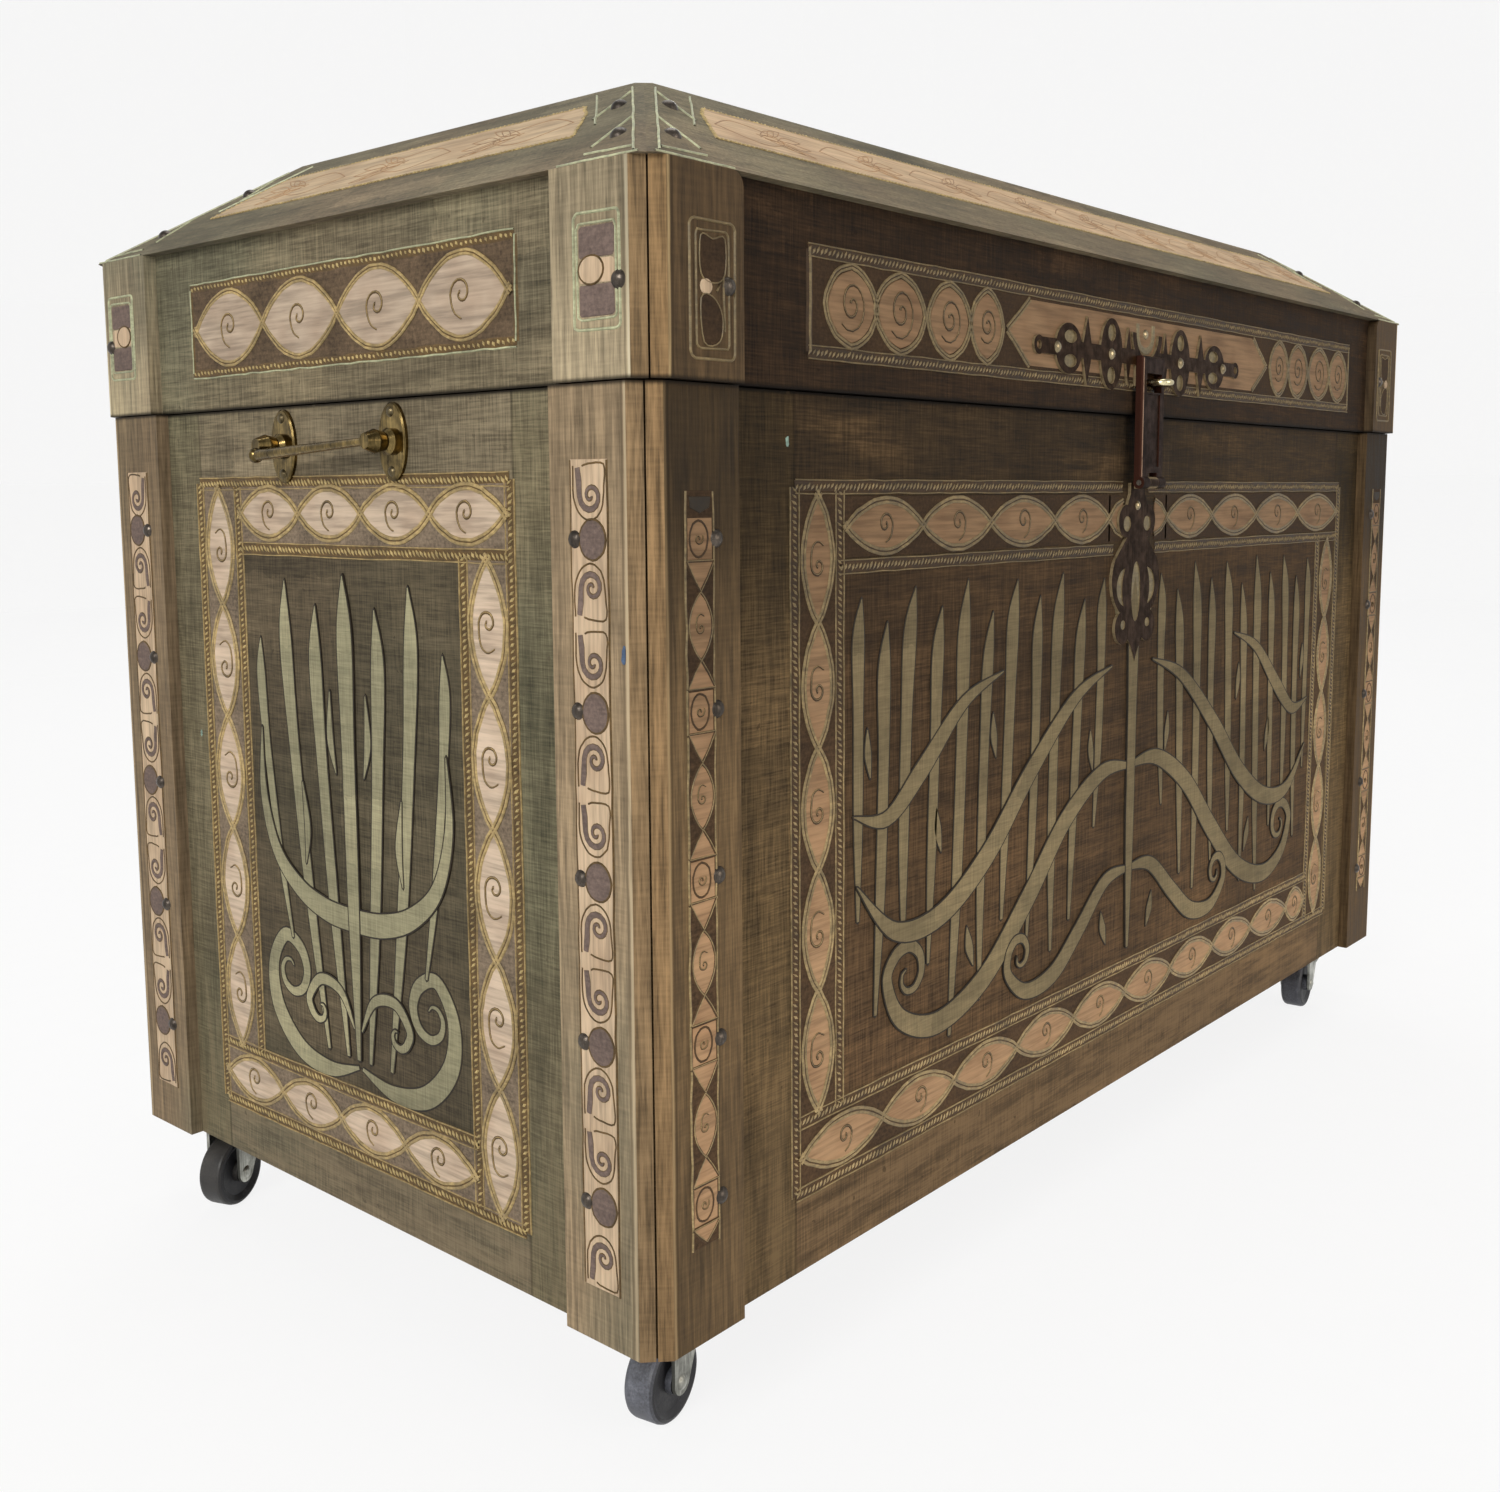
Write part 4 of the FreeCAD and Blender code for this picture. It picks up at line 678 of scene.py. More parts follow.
def runs(points, closed=False):
    """Direction of a line at each of its points."""
    n = len(points)
    out = []
    for i in range(n):
        a = points[i - 1] if (i > 0 or closed) else points[i]
        b = points[(i + 1) % n] if (i < n - 1 or closed) else points[i]
        run = Vector((b[0] - a[0], b[1] - a[1]))
        out.append(run.normalized() if run.length > 1e-6 else Vector((1, 0)))
    return out


def shifted(points, distance, closed=False):
    """Line beside a line, on its left for a positive distance."""
    return [(u - run.y * distance, v + run.x * distance)
            for (u, v), run in zip(points, runs(points, closed))]


# Shapes of raised paint

GROUND, SHOULDER = 0.02, 0.5


def fill(face, paint, points, lift):
    """Closed shape with a small rounded shoulder down to the surface."""
    if sum(a[0] * b[1] - b[0] * a[1] for a, b in sides_of(points)) < 0:
        points = points[::-1]
    n = len(points)
    inner = []
    for i in range(n):
        (ax, ay), (bx, by), (cx, cy) = points[i - 1], points[i], points[(i + 1) % n]
        e1 = Vector((bx - ax, by - ay))
        e2 = Vector((cx - bx, cy - by))
        if e1.length < 1e-6 or e2.length < 1e-6:
            inner.append((bx, by))
            continue
        n1 = Vector((-e1.y, e1.x)).normalized()
        n2 = Vector((-e2.y, e2.x)).normalized()
        turn = n1 + n2
        turn = turn.normalized() if turn.length > 0.3 else n1
        inner.append((bx + turn.x * SHOULDER, by + turn.y * SHOULDER))
    verts = [(u, v, GROUND) for u, v in points] + [(u, v, lift) for u, v in inner]
    quads = [[i, (i + 1) % n, n + (i + 1) % n, n + i] for i in range(n)]
    Sheet.of(face, paint).add(face, verts, quads + [[n + i for i in range(n)]])


def ribbon(face, paint, points, width, lift, closed=False, base=0.0):
    """Line of paint with a low domed section; width may be a number or one for each point."""
    n = len(points)
    widths = width if isinstance(width, list) else [width] * n
    verts = []
    for (u, v), run, wide in zip(points, runs(points, closed), widths):
        side = Vector((-run.y, run.x)) * wide / 2
        for share, rise in ((-1, base), (-0.45, lift), (0.45, lift), (1, base)):
            verts.append((u + side.x * share, v + side.y * share, rise))
    quads = []
    for i in range(n if closed else n - 1):
        j = (i + 1) % n
        for k in range(3):
            quads.append([4 * i + k, 4 * j + k, 4 * j + k + 1, 4 * i + k + 1])
    Sheet.of(face, paint).add(face, verts, quads)


def strip(face, paint, left, right, lift, ends=None):
    """Quads between two lines, with small walls down to the surface."""
    if ends:
        left = [tuple(ends[0])] + left + [tuple(ends[1])]
        right = [tuple(ends[0])] + right + [tuple(ends[1])]
    verts = []
    for a, b in zip(left, right):
        verts += [(*a, GROUND), (*a, lift), (*b, lift), (*b, GROUND)]
    quads = []
    for i in range(len(left) - 1):
        for k in range(3):
            quads.append([4 * i + k, 4 * i + k + 1, 4 * i + 4 + k + 1, 4 * i + 4 + k])
    Sheet.of(face, paint).add(face, verts, quads)


def stroke(face, paint, a, b, shake, width, lift, step=9.0):
    """Straight line of paint with a slight tremor."""
    ribbon(face, paint, shaken(straight(a, b, step), shake), width, lift)


def lit_line(face, points, shake, wide, fine, shift=(0, 0)):
    """Brown line with a fine gold one on it, a painted highlight."""
    ribbon(face, P_BROWN, shaken(points, shake), wide, 0.85, base=0.3)
    ribbon(face, P_GOLD, moved(points, *shift), fine, 1.05, base=0.6)


def strand(face, line, width, over=0.0, closed=False):
    """Painted cord: a dark bed with a gold band on it, parted by a fine line."""
    line = shaken(line, 0.25)
    ribbon(face, P_BROWN, line, width, 0.7 + over, closed=closed, base=0.1)
    for side in (-1, 1):
        gold = shaken(shifted(line, side * width * 0.23, closed), 0.15)
        ribbon(face, P_GOLD, gold, width * 0.41, 1.1 + over, closed=closed, base=0.45 + over)


def rope(face, a, b, width=6.5, pitch=3.6, ground=True, paint=P_ROPE):
    """Row of slanted strokes like twisted cord, on a dark line with a thin gold line on each side."""
    run = Vector((b[0] - a[0], b[1] - a[1]))
    length = run.length
    run.normalize()
    side = Vector((-run.y, run.x))
    if ground:
        line = straight(a, b, 14)
        ribbon(face, P_BROWN, shaken(line, 0.3), width + 1.6, 0.35)
        for edge in (-0.6, 0.6):
            ribbon(face, P_GOLD, shaken(shifted(line, edge * width), 0.3), 0.9, 0.75, base=0.1)
    sheet = Sheet.of(face, paint)
    quads = [[k, (k + 1) % 4, 4 + (k + 1) % 4, 4 + k] for k in range(4)] + [[4, 5, 6, 7]]
    count = int(length / pitch)
    for i in range(count):
        place = Vector(a) + run * (i + 0.5) * length / count
        lean = 0.7 + rng.uniform(-0.2, 0.2)
        way = (run * lean + side).normalized()
        half = width * 0.42 * rng.uniform(0.75, 1.12)
        thick = pitch * 0.27 * rng.uniform(0.7, 1.2)
        across = Vector((way.y, -way.x))
        place += side * rng.uniform(-0.5, 0.5)
        low = [place - way * half, place + across * thick, place + way * half, place - across * thick]
        top = [place - way * half * 0.55, place + across * thick * 0.5, place + way * half * 0.55,
               place - across * thick * 0.5]
        sheet.add(face, [(p.x, p.y, 0.3) for p in low] + [(p.x, p.y, 1.0) for p in top], quads)


def hook(face, centre, size, turns, end, hand, tail=(), width=2.0, tall=1.0):
    """Painted coil: a dot, a line that winds out of it to the angle end, and a tail in units of the size."""
    cu, cv = centre
    points = []
    steps = round(14 * turns) + 2
    for i in range(steps + 1):
        t = i / steps
        angle = end - hand * (1 - t) * turns * 2 * math.pi
        r = size * (0.1 + 0.9 * t)
        points.append((cu + r * math.cos(angle), cv + r * math.sin(angle) * tall))
    if tail:
        points += curve([points[-1]] + [(cu + a * size, cv + b * size) for a, b in tail], 5)[1:]
    points = shaken(points, 0.1)
    widths = []
    for i in range(len(points)):
        swell = math.sin(math.pi * min(1.0, 0.1 + i / len(points)))
        widths.append(width * (0.75 + 0.5 * swell + (0.7 if i < 2 else 0)))
    # Brown coil with a fine gold line moved up and left on it, a painted highlight
    ribbon(face, P_BROWN, points, widths, 0.95, base=0.3)
    ribbon(face, P_GOLD, moved(points, -0.3, 0.35), [w * 0.24 for w in widths], 1.15, base=0.7)


# Eyes and their chains; s runs along a band and t across it

def on_band(origin, upright, points):
    """The face's u and v of points on a band."""
    return [(origin[0] + (t if upright else s), origin[1] + (s if upright else t)) for s, t in points]


def eye_edge(length, half, side):
    """One long edge of a pointed eye."""
    steps = 14
    return [(length * i / steps, side * half * math.sin(math.pi * i / steps) ** 0.82) for i in range(steps + 1)]


def eye_shape(edges):
    """Closed outline from the two edges of an eye."""
    return edges[0] + edges[1][::-1][1:-1]


UP_TAIL = ((-0.98, 0.9), (-0.75, 1.75), (-0.05, 2.15), (0.75, 1.8))
SIDE_TAIL = ((0.9, -0.6), (0.6, -1.15), (0.0, -1.5))


def eye_mark(face, centre, size, upright, spin):
    """Hook inside an eye; spin turns it half round in the upright bands."""
    u, v = centre
    size *= rng.uniform(0.92, 1.08)
    if upright:
        tail = [(a * spin, b * spin) for a, b in UP_TAIL]
        hook(face, (u, v - 3.5 * spin), size, 1.15, math.pi if spin > 0 else 0.0, -1, tail)
    else:
        hook(face, (u, v + 1.0), size, 1.15, 0.0, -1, SIDE_TAIL)


def eye_chain(face, origin, upright, stops, half, border, spin=1, mauve=True, size=None, width=5.6):
    """Pointed eyes between stops along a band, ringed by two cords that cross at each stop."""
    low, high = stops[0], stops[-1]
    if mauve:
        fill(face, P_MAUVE, on_band(origin, upright, box(low - 3, -border, high + 3, border)), 0.25)
    for a, b in zip(stops, stops[1:]):
        length = b - a
        edges = [[(a + 2 + s * (length - 4) / length, t * 0.94) for s, t in eye_edge(length, half, side)]
                 for side in (1, -1)]
        fill(face, P_PALE, shaken(on_band(origin, upright, eye_shape(edges)), 0.2), 0.6)
        middle = (a + b) / 2 + rng.uniform(-1, 1)
        eye_mark(face, on_band(origin, upright, [(middle, 0)])[0], size or half * 0.5, upright, spin)
    for side in (1, -1):
        line = []
        for index, (a, b) in enumerate(zip(stops, stops[1:])):
            way = side if index % 2 == 0 else -side
            line += [(a + s, t) for s, t in eye_edge(b - a, half, way)][0 if index == 0 else 1:]
        line = [(low - 2.5, -side * 2.5)] + line + [(high + 2.5, (2.5 if line[-2][1] < 0 else -2.5))]
        strand(face, on_band(origin, upright, line), width, over=0.25 if side > 0 else 0.0)


def frame_border(face, u0, u1, v0, v1, skip_top=None, past=None):
    """Rope round a rectangle; its sides may run past the corners to the heights and places in past."""
    top, right, bottom, left = past or (v1, u1, v0, u0)
    rope(face, (left, v0), (u1, v0))
    rope(face, (u1, bottom), (u1, v1))
    if skip_top:
        rope(face, (right, v1), (skip_top[1], v1))
        rope(face, (skip_top[0], v1), (u0, v1))
    else:
        rope(face, (right, v1), (u0, v1))
    rope(face, (u0, top), (u0, v0))


# Leaves of the two large fields

SHADOW, LAYER = 1.1, 0.25


def leaf(face, points, widths, layer):
    """Brush-shaped blade along a smooth line, outlined in dark paint."""
    line = curve(points)
    widths = [max(0.3, w[0]) for w in curve([(w, 0) for w in widths])]
    left, right, outer_left, outer_right = [], [], [], []
    for (u, v), run, width in zip(line, runs(line), widths):
        side = Vector((-run.y, run.x))
        for store, half in ((left, width / 2), (right, -width / 2), (outer_left, width / 2 + SHADOW),
                            (outer_right, -width / 2 - SHADOW)):
            store.append((u + side.x * half, v + side.y * half))
    tips = Vector(line[0]) - Vector(line[1]), Vector(line[-1]) - Vector(line[-2])
    ends = [Vector(at) + tip.normalized() * SHADOW * 1.6 for at, tip in zip((line[0], line[-1]), tips)]
    strip(face, P_INK, outer_left, outer_right, 0.3 + layer * LAYER, ends)
    strip(face, P_SAGE, left, right, 0.45 + layer * LAYER)


def mirrored_leaf(face, middle, points, widths, layer):
    for side in (1, -1):
        leaf(face, [(middle + side * u, v) for u, v in points], widths, layer)


def reed(face, middle, foot, tip, width, layer, bend=0.0):
    """Tall blade with a broad shoulder under its tip, and its mirror image unless it stands in the middle."""
    (u0, v0), (u1, v1) = foot, tip
    points = [(u0 + (u1 - u0) * s + bend * math.sin(math.pi * s), v0 + (v1 - v0) * s)
              for s in (0, 0.3, 0.65, 0.88, 1)]
    widths = [0.2 * width, 0.74 * width, 0.84 * width, width, 0.5]
    if u0 == 0 and u1 == 0:
        leaf(face, [(middle + u, v) for u, v in points], widths, layer)
    else:
        points[-1] = (points[-1][0] - 0.28 * width, points[-1][1])
        mirrored_leaf(face, middle, points, widths, layer)


def scroll(u, v, r, hand, turns, start):
    """Points of a coil that winds in towards (u, v)."""
    steps = int(turns * 8)
    points = []
    for i in range(steps + 1):
        t = i / steps
        angle = start - hand * t * turns * 2 * math.pi
        points.append((u + r * (1 - 0.8 * t) * math.cos(angle), v + r * (1 - 0.8 * t) * math.sin(angle)))
    return points


def tendril(face, middle, stem, coil, widths, layer):
    """Long stem that thins out into a coil, mirrored."""
    stem = stem + scroll(*coil)[1:]
    extra = len(stem) - len(widths)
    full = widths + [widths[-1] * (1 - (i + 1) / extra) + 0.6 for i in range(extra)]
    mirrored_leaf(face, middle, stem, full, layer)


def end_field(face):
    """Sheaf of reeds tied by a long curved leaf over two scrolls, the same on both sides of the middle."""
    middle = 273.5
    fill(face, P_FIELD_END, box(158, 82, 389, 429), 0.12)
    tendril(face, middle, [(2, 98), (34, 90), (68, 96), (93, 120), (97, 150), (82, 172)],
            (76, 149, 23, -1, 1.15, 1.35), [2, 10, 14, 14, 11, 9], 0)
    reed(face, middle, (72, 172), (99, 372), 9, 1, 5)
    reed(face, middle, (34, 104), (69, 411), 12.5, 2, 5)
    reed(face, middle, (12, 104), (35, 396), 12.5, 3, 3)
    mirrored_leaf(face, middle, [(0, 196), (30, 198), (60, 208), (86, 230), (99, 268), (98, 312)],
                  [15, 15, 13, 10, 7, 0.6], 4)
    reed(face, middle, (0, 104), (0, 416), 15, 5)
    tendril(face, middle, [(4, 124), (18, 146), (40, 150), (54, 136)], (42, 130, 12, 1, 0.8, 0.5),
            [1, 6, 7, 6], 4)
    mirrored_leaf(face, middle, [(15, 290), (20, 312), (19, 342)], [0.6, 6, 0.6], 2)
    mirrored_leaf(face, middle, [(52, 226), (49, 250), (53, 280)], [0.6, 6, 0.6], 3)


# Reeds of the front: foot and tip as u from the middle and v, then the width
REEDS = ((56, 214, 50, 400, 12), (92, 150, 80, 386, 13), (118, 132, 112, 407, 14), (152, 150, 143, 392, 12),
         (186, 170, 174, 405, 14), (214, 120, 205, 385, 12), (250, 104, 236, 408, 14), (276, 160, 266, 392, 12),
         (304, 176, 296, 406, 13), (334, 140, 326, 386, 12), (352, 204, 352, 402, 11))
# Small leaves between them: foot, the way to the tip, and the width
SPRIGS = ((34, 118, 8, 26, 8), (222, 146, 8, 28, 8), (60, 258, 4, 30, 7), (196, 286, 4, 30, 7),
          (262, 232, 6, 30, 7), (340, 292, 3, 30, 6))


def front_field(face):
    """Reeds crossed by long leaves that spring from the middle and hang outward, the same on both sides."""
    middle = HALF
    fill(face, P_FIELD, box(173, 96, 909, 419), 0.12)
    for index, (foot_u, foot_v, tip_u, tip_v, width) in enumerate(REEDS):
        reed(face, middle, (foot_u, foot_v), (tip_u, tip_v), width, 1 + index % 2, (index % 3 - 1) * 3)
    mirrored_leaf(face, middle, [(188, 344), (236, 328), (284, 290), (322, 264), (357, 270)],
                  [0.6, 9, 14, 10, 0.6], 3)
    tendril(face, middle, [(2, 254), (46, 254), (100, 226), (152, 178), (208, 134), (264, 117), (306, 130),
                           (322, 158)], (299, 158, 23, -1, 1.15, 0.0), [4, 12, 16, 18, 17, 15, 12, 9], 4)
    mirrored_leaf(face, middle, [(34, 334), (88, 316), (150, 270), (206, 220), (262, 190), (314, 190),
                                 (354, 226)], [0.6, 10, 15, 17, 15, 11, 0.6], 5)
    tendril(face, middle, [(2, 172), (38, 168), (78, 138), (114, 114), (152, 110), (176, 126)],
            (162, 138, 18, -1, 1.1, -0.7), [4, 11, 14, 14, 11, 8], 5)
    reed(face, middle, (0, 108), (0, 400), 15, 6)
    for u, v, du, dv, width in SPRIGS:
        points = [(u, v), (u + du * 0.5 + 1, v + dv * 0.5), (u + du, v + dv)]
        mirrored_leaf(face, middle, points, [0.6, width, 0.6], 2)


# Framed bands

def half_motif(face, tip, wide):
    """Half an eye whose flat side meets the hasp's plate."""
    fill(face, P_MAUVE, box(tip, 428, wide, 463), 0.25)
    knee = (tip + wide) / 2
    shape = [(tip, 445.5), (knee, 455), (wide, 459), (wide, 432), (knee, 436)]
    fill(face, P_PALE, shape, 0.6)
    for points in (shape[:3], [shape[0], shape[4], shape[3]]):
        strand(face, points, 4.6)


def plate_ground(face):
    """Olive paint seen through the piercings of the lower hasp plate."""
    for du, v, a, b in ((0, 389, 9, 26), (-16.2, 441.2, 7.6, 7.6), (16.2, 441.2, 7.6, 7.6), (-24, 392, 7, 22),
                        (24, 392, 7, 22), (-19.8, 364.5, 5, 5), (19.8, 364.5, 5, 5)):
        fill(face, P_OLIVE, circle(HALF + du, v, a, b), 1.9)


def front_frame(face):
    left, right, bottom, top = (149, 0), (935, 0), (0, 71), (0, 445.5)
    front_field(face)
    eye_chain(face, left, True, evenly(97, 464, 5), 13.5, 17)
    eye_chain(face, right, True, evenly(54, 418, 5), 13.5, 17)
    eye_chain(face, top, False, [176, 255, 335, 418.5, 498], 15.5, 18)
    eye_chain(face, top, False, [594, 676.5, 766.5, 860, 955], 15.5, 18)
    half_motif(face, 498, 520)
    half_motif(face, 594, 572)
    eye_chain(face, bottom, False, evenly(134, 864, 9) + [907], 14.5, 17.5)
    frame_border(face, 128, 961, 49, 469, skip_top=(519, 561))
    frame_border(face, 170, 912, 93, 422, skip_top=(506, 574), past=(467, 959, 51, 130))
    plate_ground(face)


def end_frame(face):
    near, far, bottom, top = (135, 0), (415, 0), (0, 59), (0, 454.5)
    end_field(face)
    eye_chain(face, top, False, evenly(118, 388, 4), 16, 20)
    eye_chain(face, far, True, evenly(83, 470, 5), 15.5, 18)
    eye_chain(face, near, True, evenly(42, 429, 5), 15.5, 18, spin=-1)
    eye_chain(face, bottom, False, evenly(160, 434, 4), 15, 18)
    frame_border(face, 114, 438, 38, 474)
    frame_border(face, 391, 156, 80, 431, past=(472, 116, 40, 436))


def end_lid_band(face):
    """Chain of eyes on a mauve field, in a frame of roped and green-gold lines."""
    left, right, low, high = 104, 437, 548, 604
    fill(face, P_LID_MAUVE, box(left + 2, low, right - 2, high), 0.2)
    stops = [110, 188, 268.5, 350, 431]
    eye_chain(face, (0, 576), False, stops, 23.5, 27, mauve=False, size=9.5, width=4.6)
    for v, side in ((low, -3), (high, 3)):
        stroke(face, P_BROWN, (left, v), (right, v), 0.5, 6.5, 0.4)
        rope(face, (left, v), (right, v), 4.2, 4.2, ground=False)
        stroke(face, P_TEAL, (left, v + side), (right, v + side), 0.4, 1.2, 0.7)
    for u in (left, right):
        stroke(face, P_BROWN, (u, low), (u, high), 0.4, 4.5, 0.4)
        stroke(face, P_TEAL, (u, low), (u, high), 0.4, 1.5, 0.8)


def lozenge_ring(u, v, half_u, half_v, round_share):
    """Closed ring between a lozenge and an oval."""
    points = []
    for i in range(28):
        angle = 2 * math.pi * i / 28
        ca, sa = math.cos(angle), math.sin(angle)
        r = round_share + (1 - round_share) / (abs(ca) + abs(sa))
        points.append((u + half_u * ca * r, v + half_v * sa * r))
    return points


def front_lid_band(face):
    """Long hexagon behind the hasp between two rows of rings with coils."""
    left, right, low, high, mid = 137, 959, 544, 600, 572
    fill(face, P_MAUVE, box(left, low + 3, right, high - 3), 0.2)
    field = [(343, mid), (372, high - 6), (737, high - 6), (766, mid), (737, low + 6), (372, low + 6)]
    fill(face, P_PALE, field, 0.5)
    for a, b in (field[:2], field[2:4], field[3:5], [field[5], field[0]]):
        strand(face, straight(a, b, 6), 4.8)
    rings = ((174, 25), (223, 26), (275.5, 24), (319, 19.5), (793.6, 20), (836.5, 22), (886.4, 25), (933.9, 22))
    for u, half in rings:
        ring = shaken(lozenge_ring(u, mid, half, 23, 0.78), 0.2)
        fill(face, P_PALE, [(u + (a - u) * 0.9, mid + (b - mid) * 0.9) for a, b in ring], 0.6)
        strand(face, ring, 4.6, closed=True)
        hook(face, (u + 0.5, mid + 1), half * 0.56, 1.8, math.pi * 1.25, -1, tall=1.15)
    # Olive seen through the lid plate's piercings, and an olive band round its top nail
    for du, a, b in ((-56, 11, 22), (56, 11, 22), (-115.8, 13, 14), (115.8, 13, 14)):
        fill(face, P_OLIVE, circle(HALF + du, 564.8, a, b), 0.9)
    nail_v, reach = 582.8, 12.5
    turns = [math.radians(a) for a in range(175, 366, 10)]
    bowl = [(HALF + reach * math.cos(a), nail_v + reach * math.sin(a)) for a in turns]
    ribbon(face, P_OLIVE, [(HALF - reach, 590)] + bowl + [(HALF + reach, 590)], 8.0, 0.9)
    rope(face, (left - 3, high), (right + 3, high), 6.0)
    rope(face, (left - 3, low), (right + 3, low), 6.0)
    for u in (left - 1, right + 1):
        stroke(face, P_BROWN, (u, low), (u, high), 0.3, 6, 0.4)
        stroke(face, P_GOLD, (u, low), (u, high), 0.3, 2.6, 0.9)


# Planks

STUD_ROWS = [80.0 + 90.5 * k for k in range(5)]


def curl(face, mid, foot, up):
    """Thick hook under an arched line; up is 1 where the arch is at the top, and -1 upside down."""
    points, widths = [], []
    steps = 20
    for i in range(steps + 1):
        t = i / steps
        angle = 1.45 * (1 - t) * 2 * math.pi
        r = 8.4 * (0.08 + 0.92 * t)
        points.append((mid - 1.6 + r * math.cos(angle), foot + up * (17 + r * math.sin(angle))))
        widths.append(1.2 + 2.2 * t)
    points += [(mid + 7.2, foot + up * 9), (mid + 8.2, foot + up * 2.5)]
    widths += [4.0, 3.4]
    ribbon(face, P_BROWN, points, [w + 1.2 for w in widths], 0.7, base=0.3)
    ribbon(face, P_PLANK_MAUVE, points, widths, 0.95, base=0.5)
    arch = ((11.4, 1.5), (11.2, 18), (6, 27), (-2, 29.5), (-9.5, 24), (-11.6, 12), (-11.4, 1), (0, 0.5),
            (4.5, 1.5))
    line = curve([(mid + du, foot + up * dv) for du, dv in arch], 4)
    ribbon(face, P_BROWN, shaken(line, 0.15), 1.3, 0.75, base=0.3)


def end_plank_band(face):
    """Pale strip with a disc beside each stud and two facing hooks between discs."""
    u0, u1, low, high = 27.5, 54.5, 32, 483
    fill(face, P_PLANK, shaken(box(u0, low, u1, high), 0.4), 0.4)
    mid = (u0 + u1) / 2
    for u in (u0, u1):
        stroke(face, P_BROWN, (u, low), (u, high), 0.4, 1.5, 0.6, 12)
    for row in STUD_ROWS:
        disc = shaken(circle(mid - 2.5, row, 9.8, 10.6), 0.2)
        ribbon(face, P_BROWN, disc, 1.6, 0.9, closed=True, base=0.3)
        fill(face, P_PLANK_MAUVE, disc, 0.75)
        curl(face, mid, min(row + 43, high - 1.5), -1)
        if row != STUD_ROWS[-1]:
            curl(face, mid, row + 48.5, 1)
    curl(face, mid, low + 1.5, 1)


def half_eye(face, mid, half, point, wide):
    """Pale half eye between its point and its flat side, on a plank of the front."""
    knee = point * 0.55 + wide * 0.45
    shape = [(mid, point), (mid + half * 0.5, knee), (mid + half, wide), (mid - half, wide),
             (mid - half * 0.5, knee)]
    fill(face, P_FRONT_PALE, shape, 0.6)
    for points in (shape[:3], [shape[0], shape[4], shape[3]], shape[2:4]):
        lit_line(face, points, 0.3, 1.8, 0.7, (0.4, 0.3))


def front_plank_band(face):
    """Narrow strip of ovals, half eyes and eyes, with a dark bowl at its top."""
    u0, u1, low, high = 28.5, 49.5, 56, 467
    mid, half = (u0 + u1) / 2, (u1 - u0) / 2
    fill(face, P_DARK_BAND, box(u0, low, u1, high), 0.3)
    for u in (u0, u1):
        stroke(face, P_GOLD, (u, low), (u, high), 0.5, 1.2, 0.8, 12)
    for row in STUD_ROWS:
        fill(face, P_FRONT_PALE, box(u0 + 1, row - 11, u1 - 1, row + 11), 0.5)
        ribbon(face, P_BROWN, shaken(circle(mid - 1, row, 7, 9.5), 0.2), 1.7, 0.85, closed=True, base=0.3)
        hook(face, (mid - 1, row), 3.6, 1.2, 0.5, 1, width=0.9)
        if row + 60 < high:
            half_eye(face, mid, half, row + 27, row + 12)
            edges = [[(mid + t, row + 27 + s) for s, t in eye_edge(36, half - 1.5, side)] for side in (1, -1)]
            fill(face, P_FRONT_PALE, eye_shape(edges), 0.6)
            for line in edges:
                lit_line(face, line, 0.2, 2.2, 0.9)
            hook(face, (mid, row + 44), 3.4, 1.1, math.pi, -1, UP_TAIL, 1.1)
            half_eye(face, mid, half, row + 63, row + 79)
    bowl = [(u0 + 2, high - 3), (u0 + 3, high - 9), (mid, high - 12), (u1 - 3, high - 9), (u1 - 2, high - 3)]
    fill(face, P_BLOB, bowl, 0.7)
    half_eye(face, mid, half, low + 2, low + 12)


def double_frame(face, paint, u0, u1, v0, v1, inset):
    """Two rounded rectangles of line, one inside the other."""
    ribbon(face, paint, shaken(rounded(u0, u1, v0, v1), 0.4), 1.6, 0.8, closed=True)
    inner = rounded(u0 + inset, u1 - inset, v0 + 5, v1 - 5)
    ribbon(face, paint, shaken(inner, 0.4), 1.3, 0.7, closed=True)


def lid_end_plank_frame(face):
    """Double frame with two mauve panels and a pale disc on a pale bar between them."""
    u0, u1, v0, v1 = 19.9, 53, 548, 606
    left, right, mid = u0 + 3.8, u1 - 3.8, (v0 + v1) / 2
    double_frame(face, P_TEAL, u0, u1, v0, v1, 2.4)
    fill(face, P_PLANK, shaken(rounded(left, right, mid - 6, mid + 6, 2), 0.3), 0.3)
    for low, high in ((v0 + 6.5, mid - 6.5), (mid + 6.5, v1 - 6.5)):
        fill(face, P_PLANK_MAUVE, shaken(rounded(left, right, low, high, 2), 0.3), 0.4)
    disc = circle(u0 + 20.3, mid + 0.7, 9, 7.2)
    fill(face, P_PLANK, disc, 0.7)
    ribbon(face, P_BROWN, disc, 1.2, 0.95, closed=True, base=0.3)


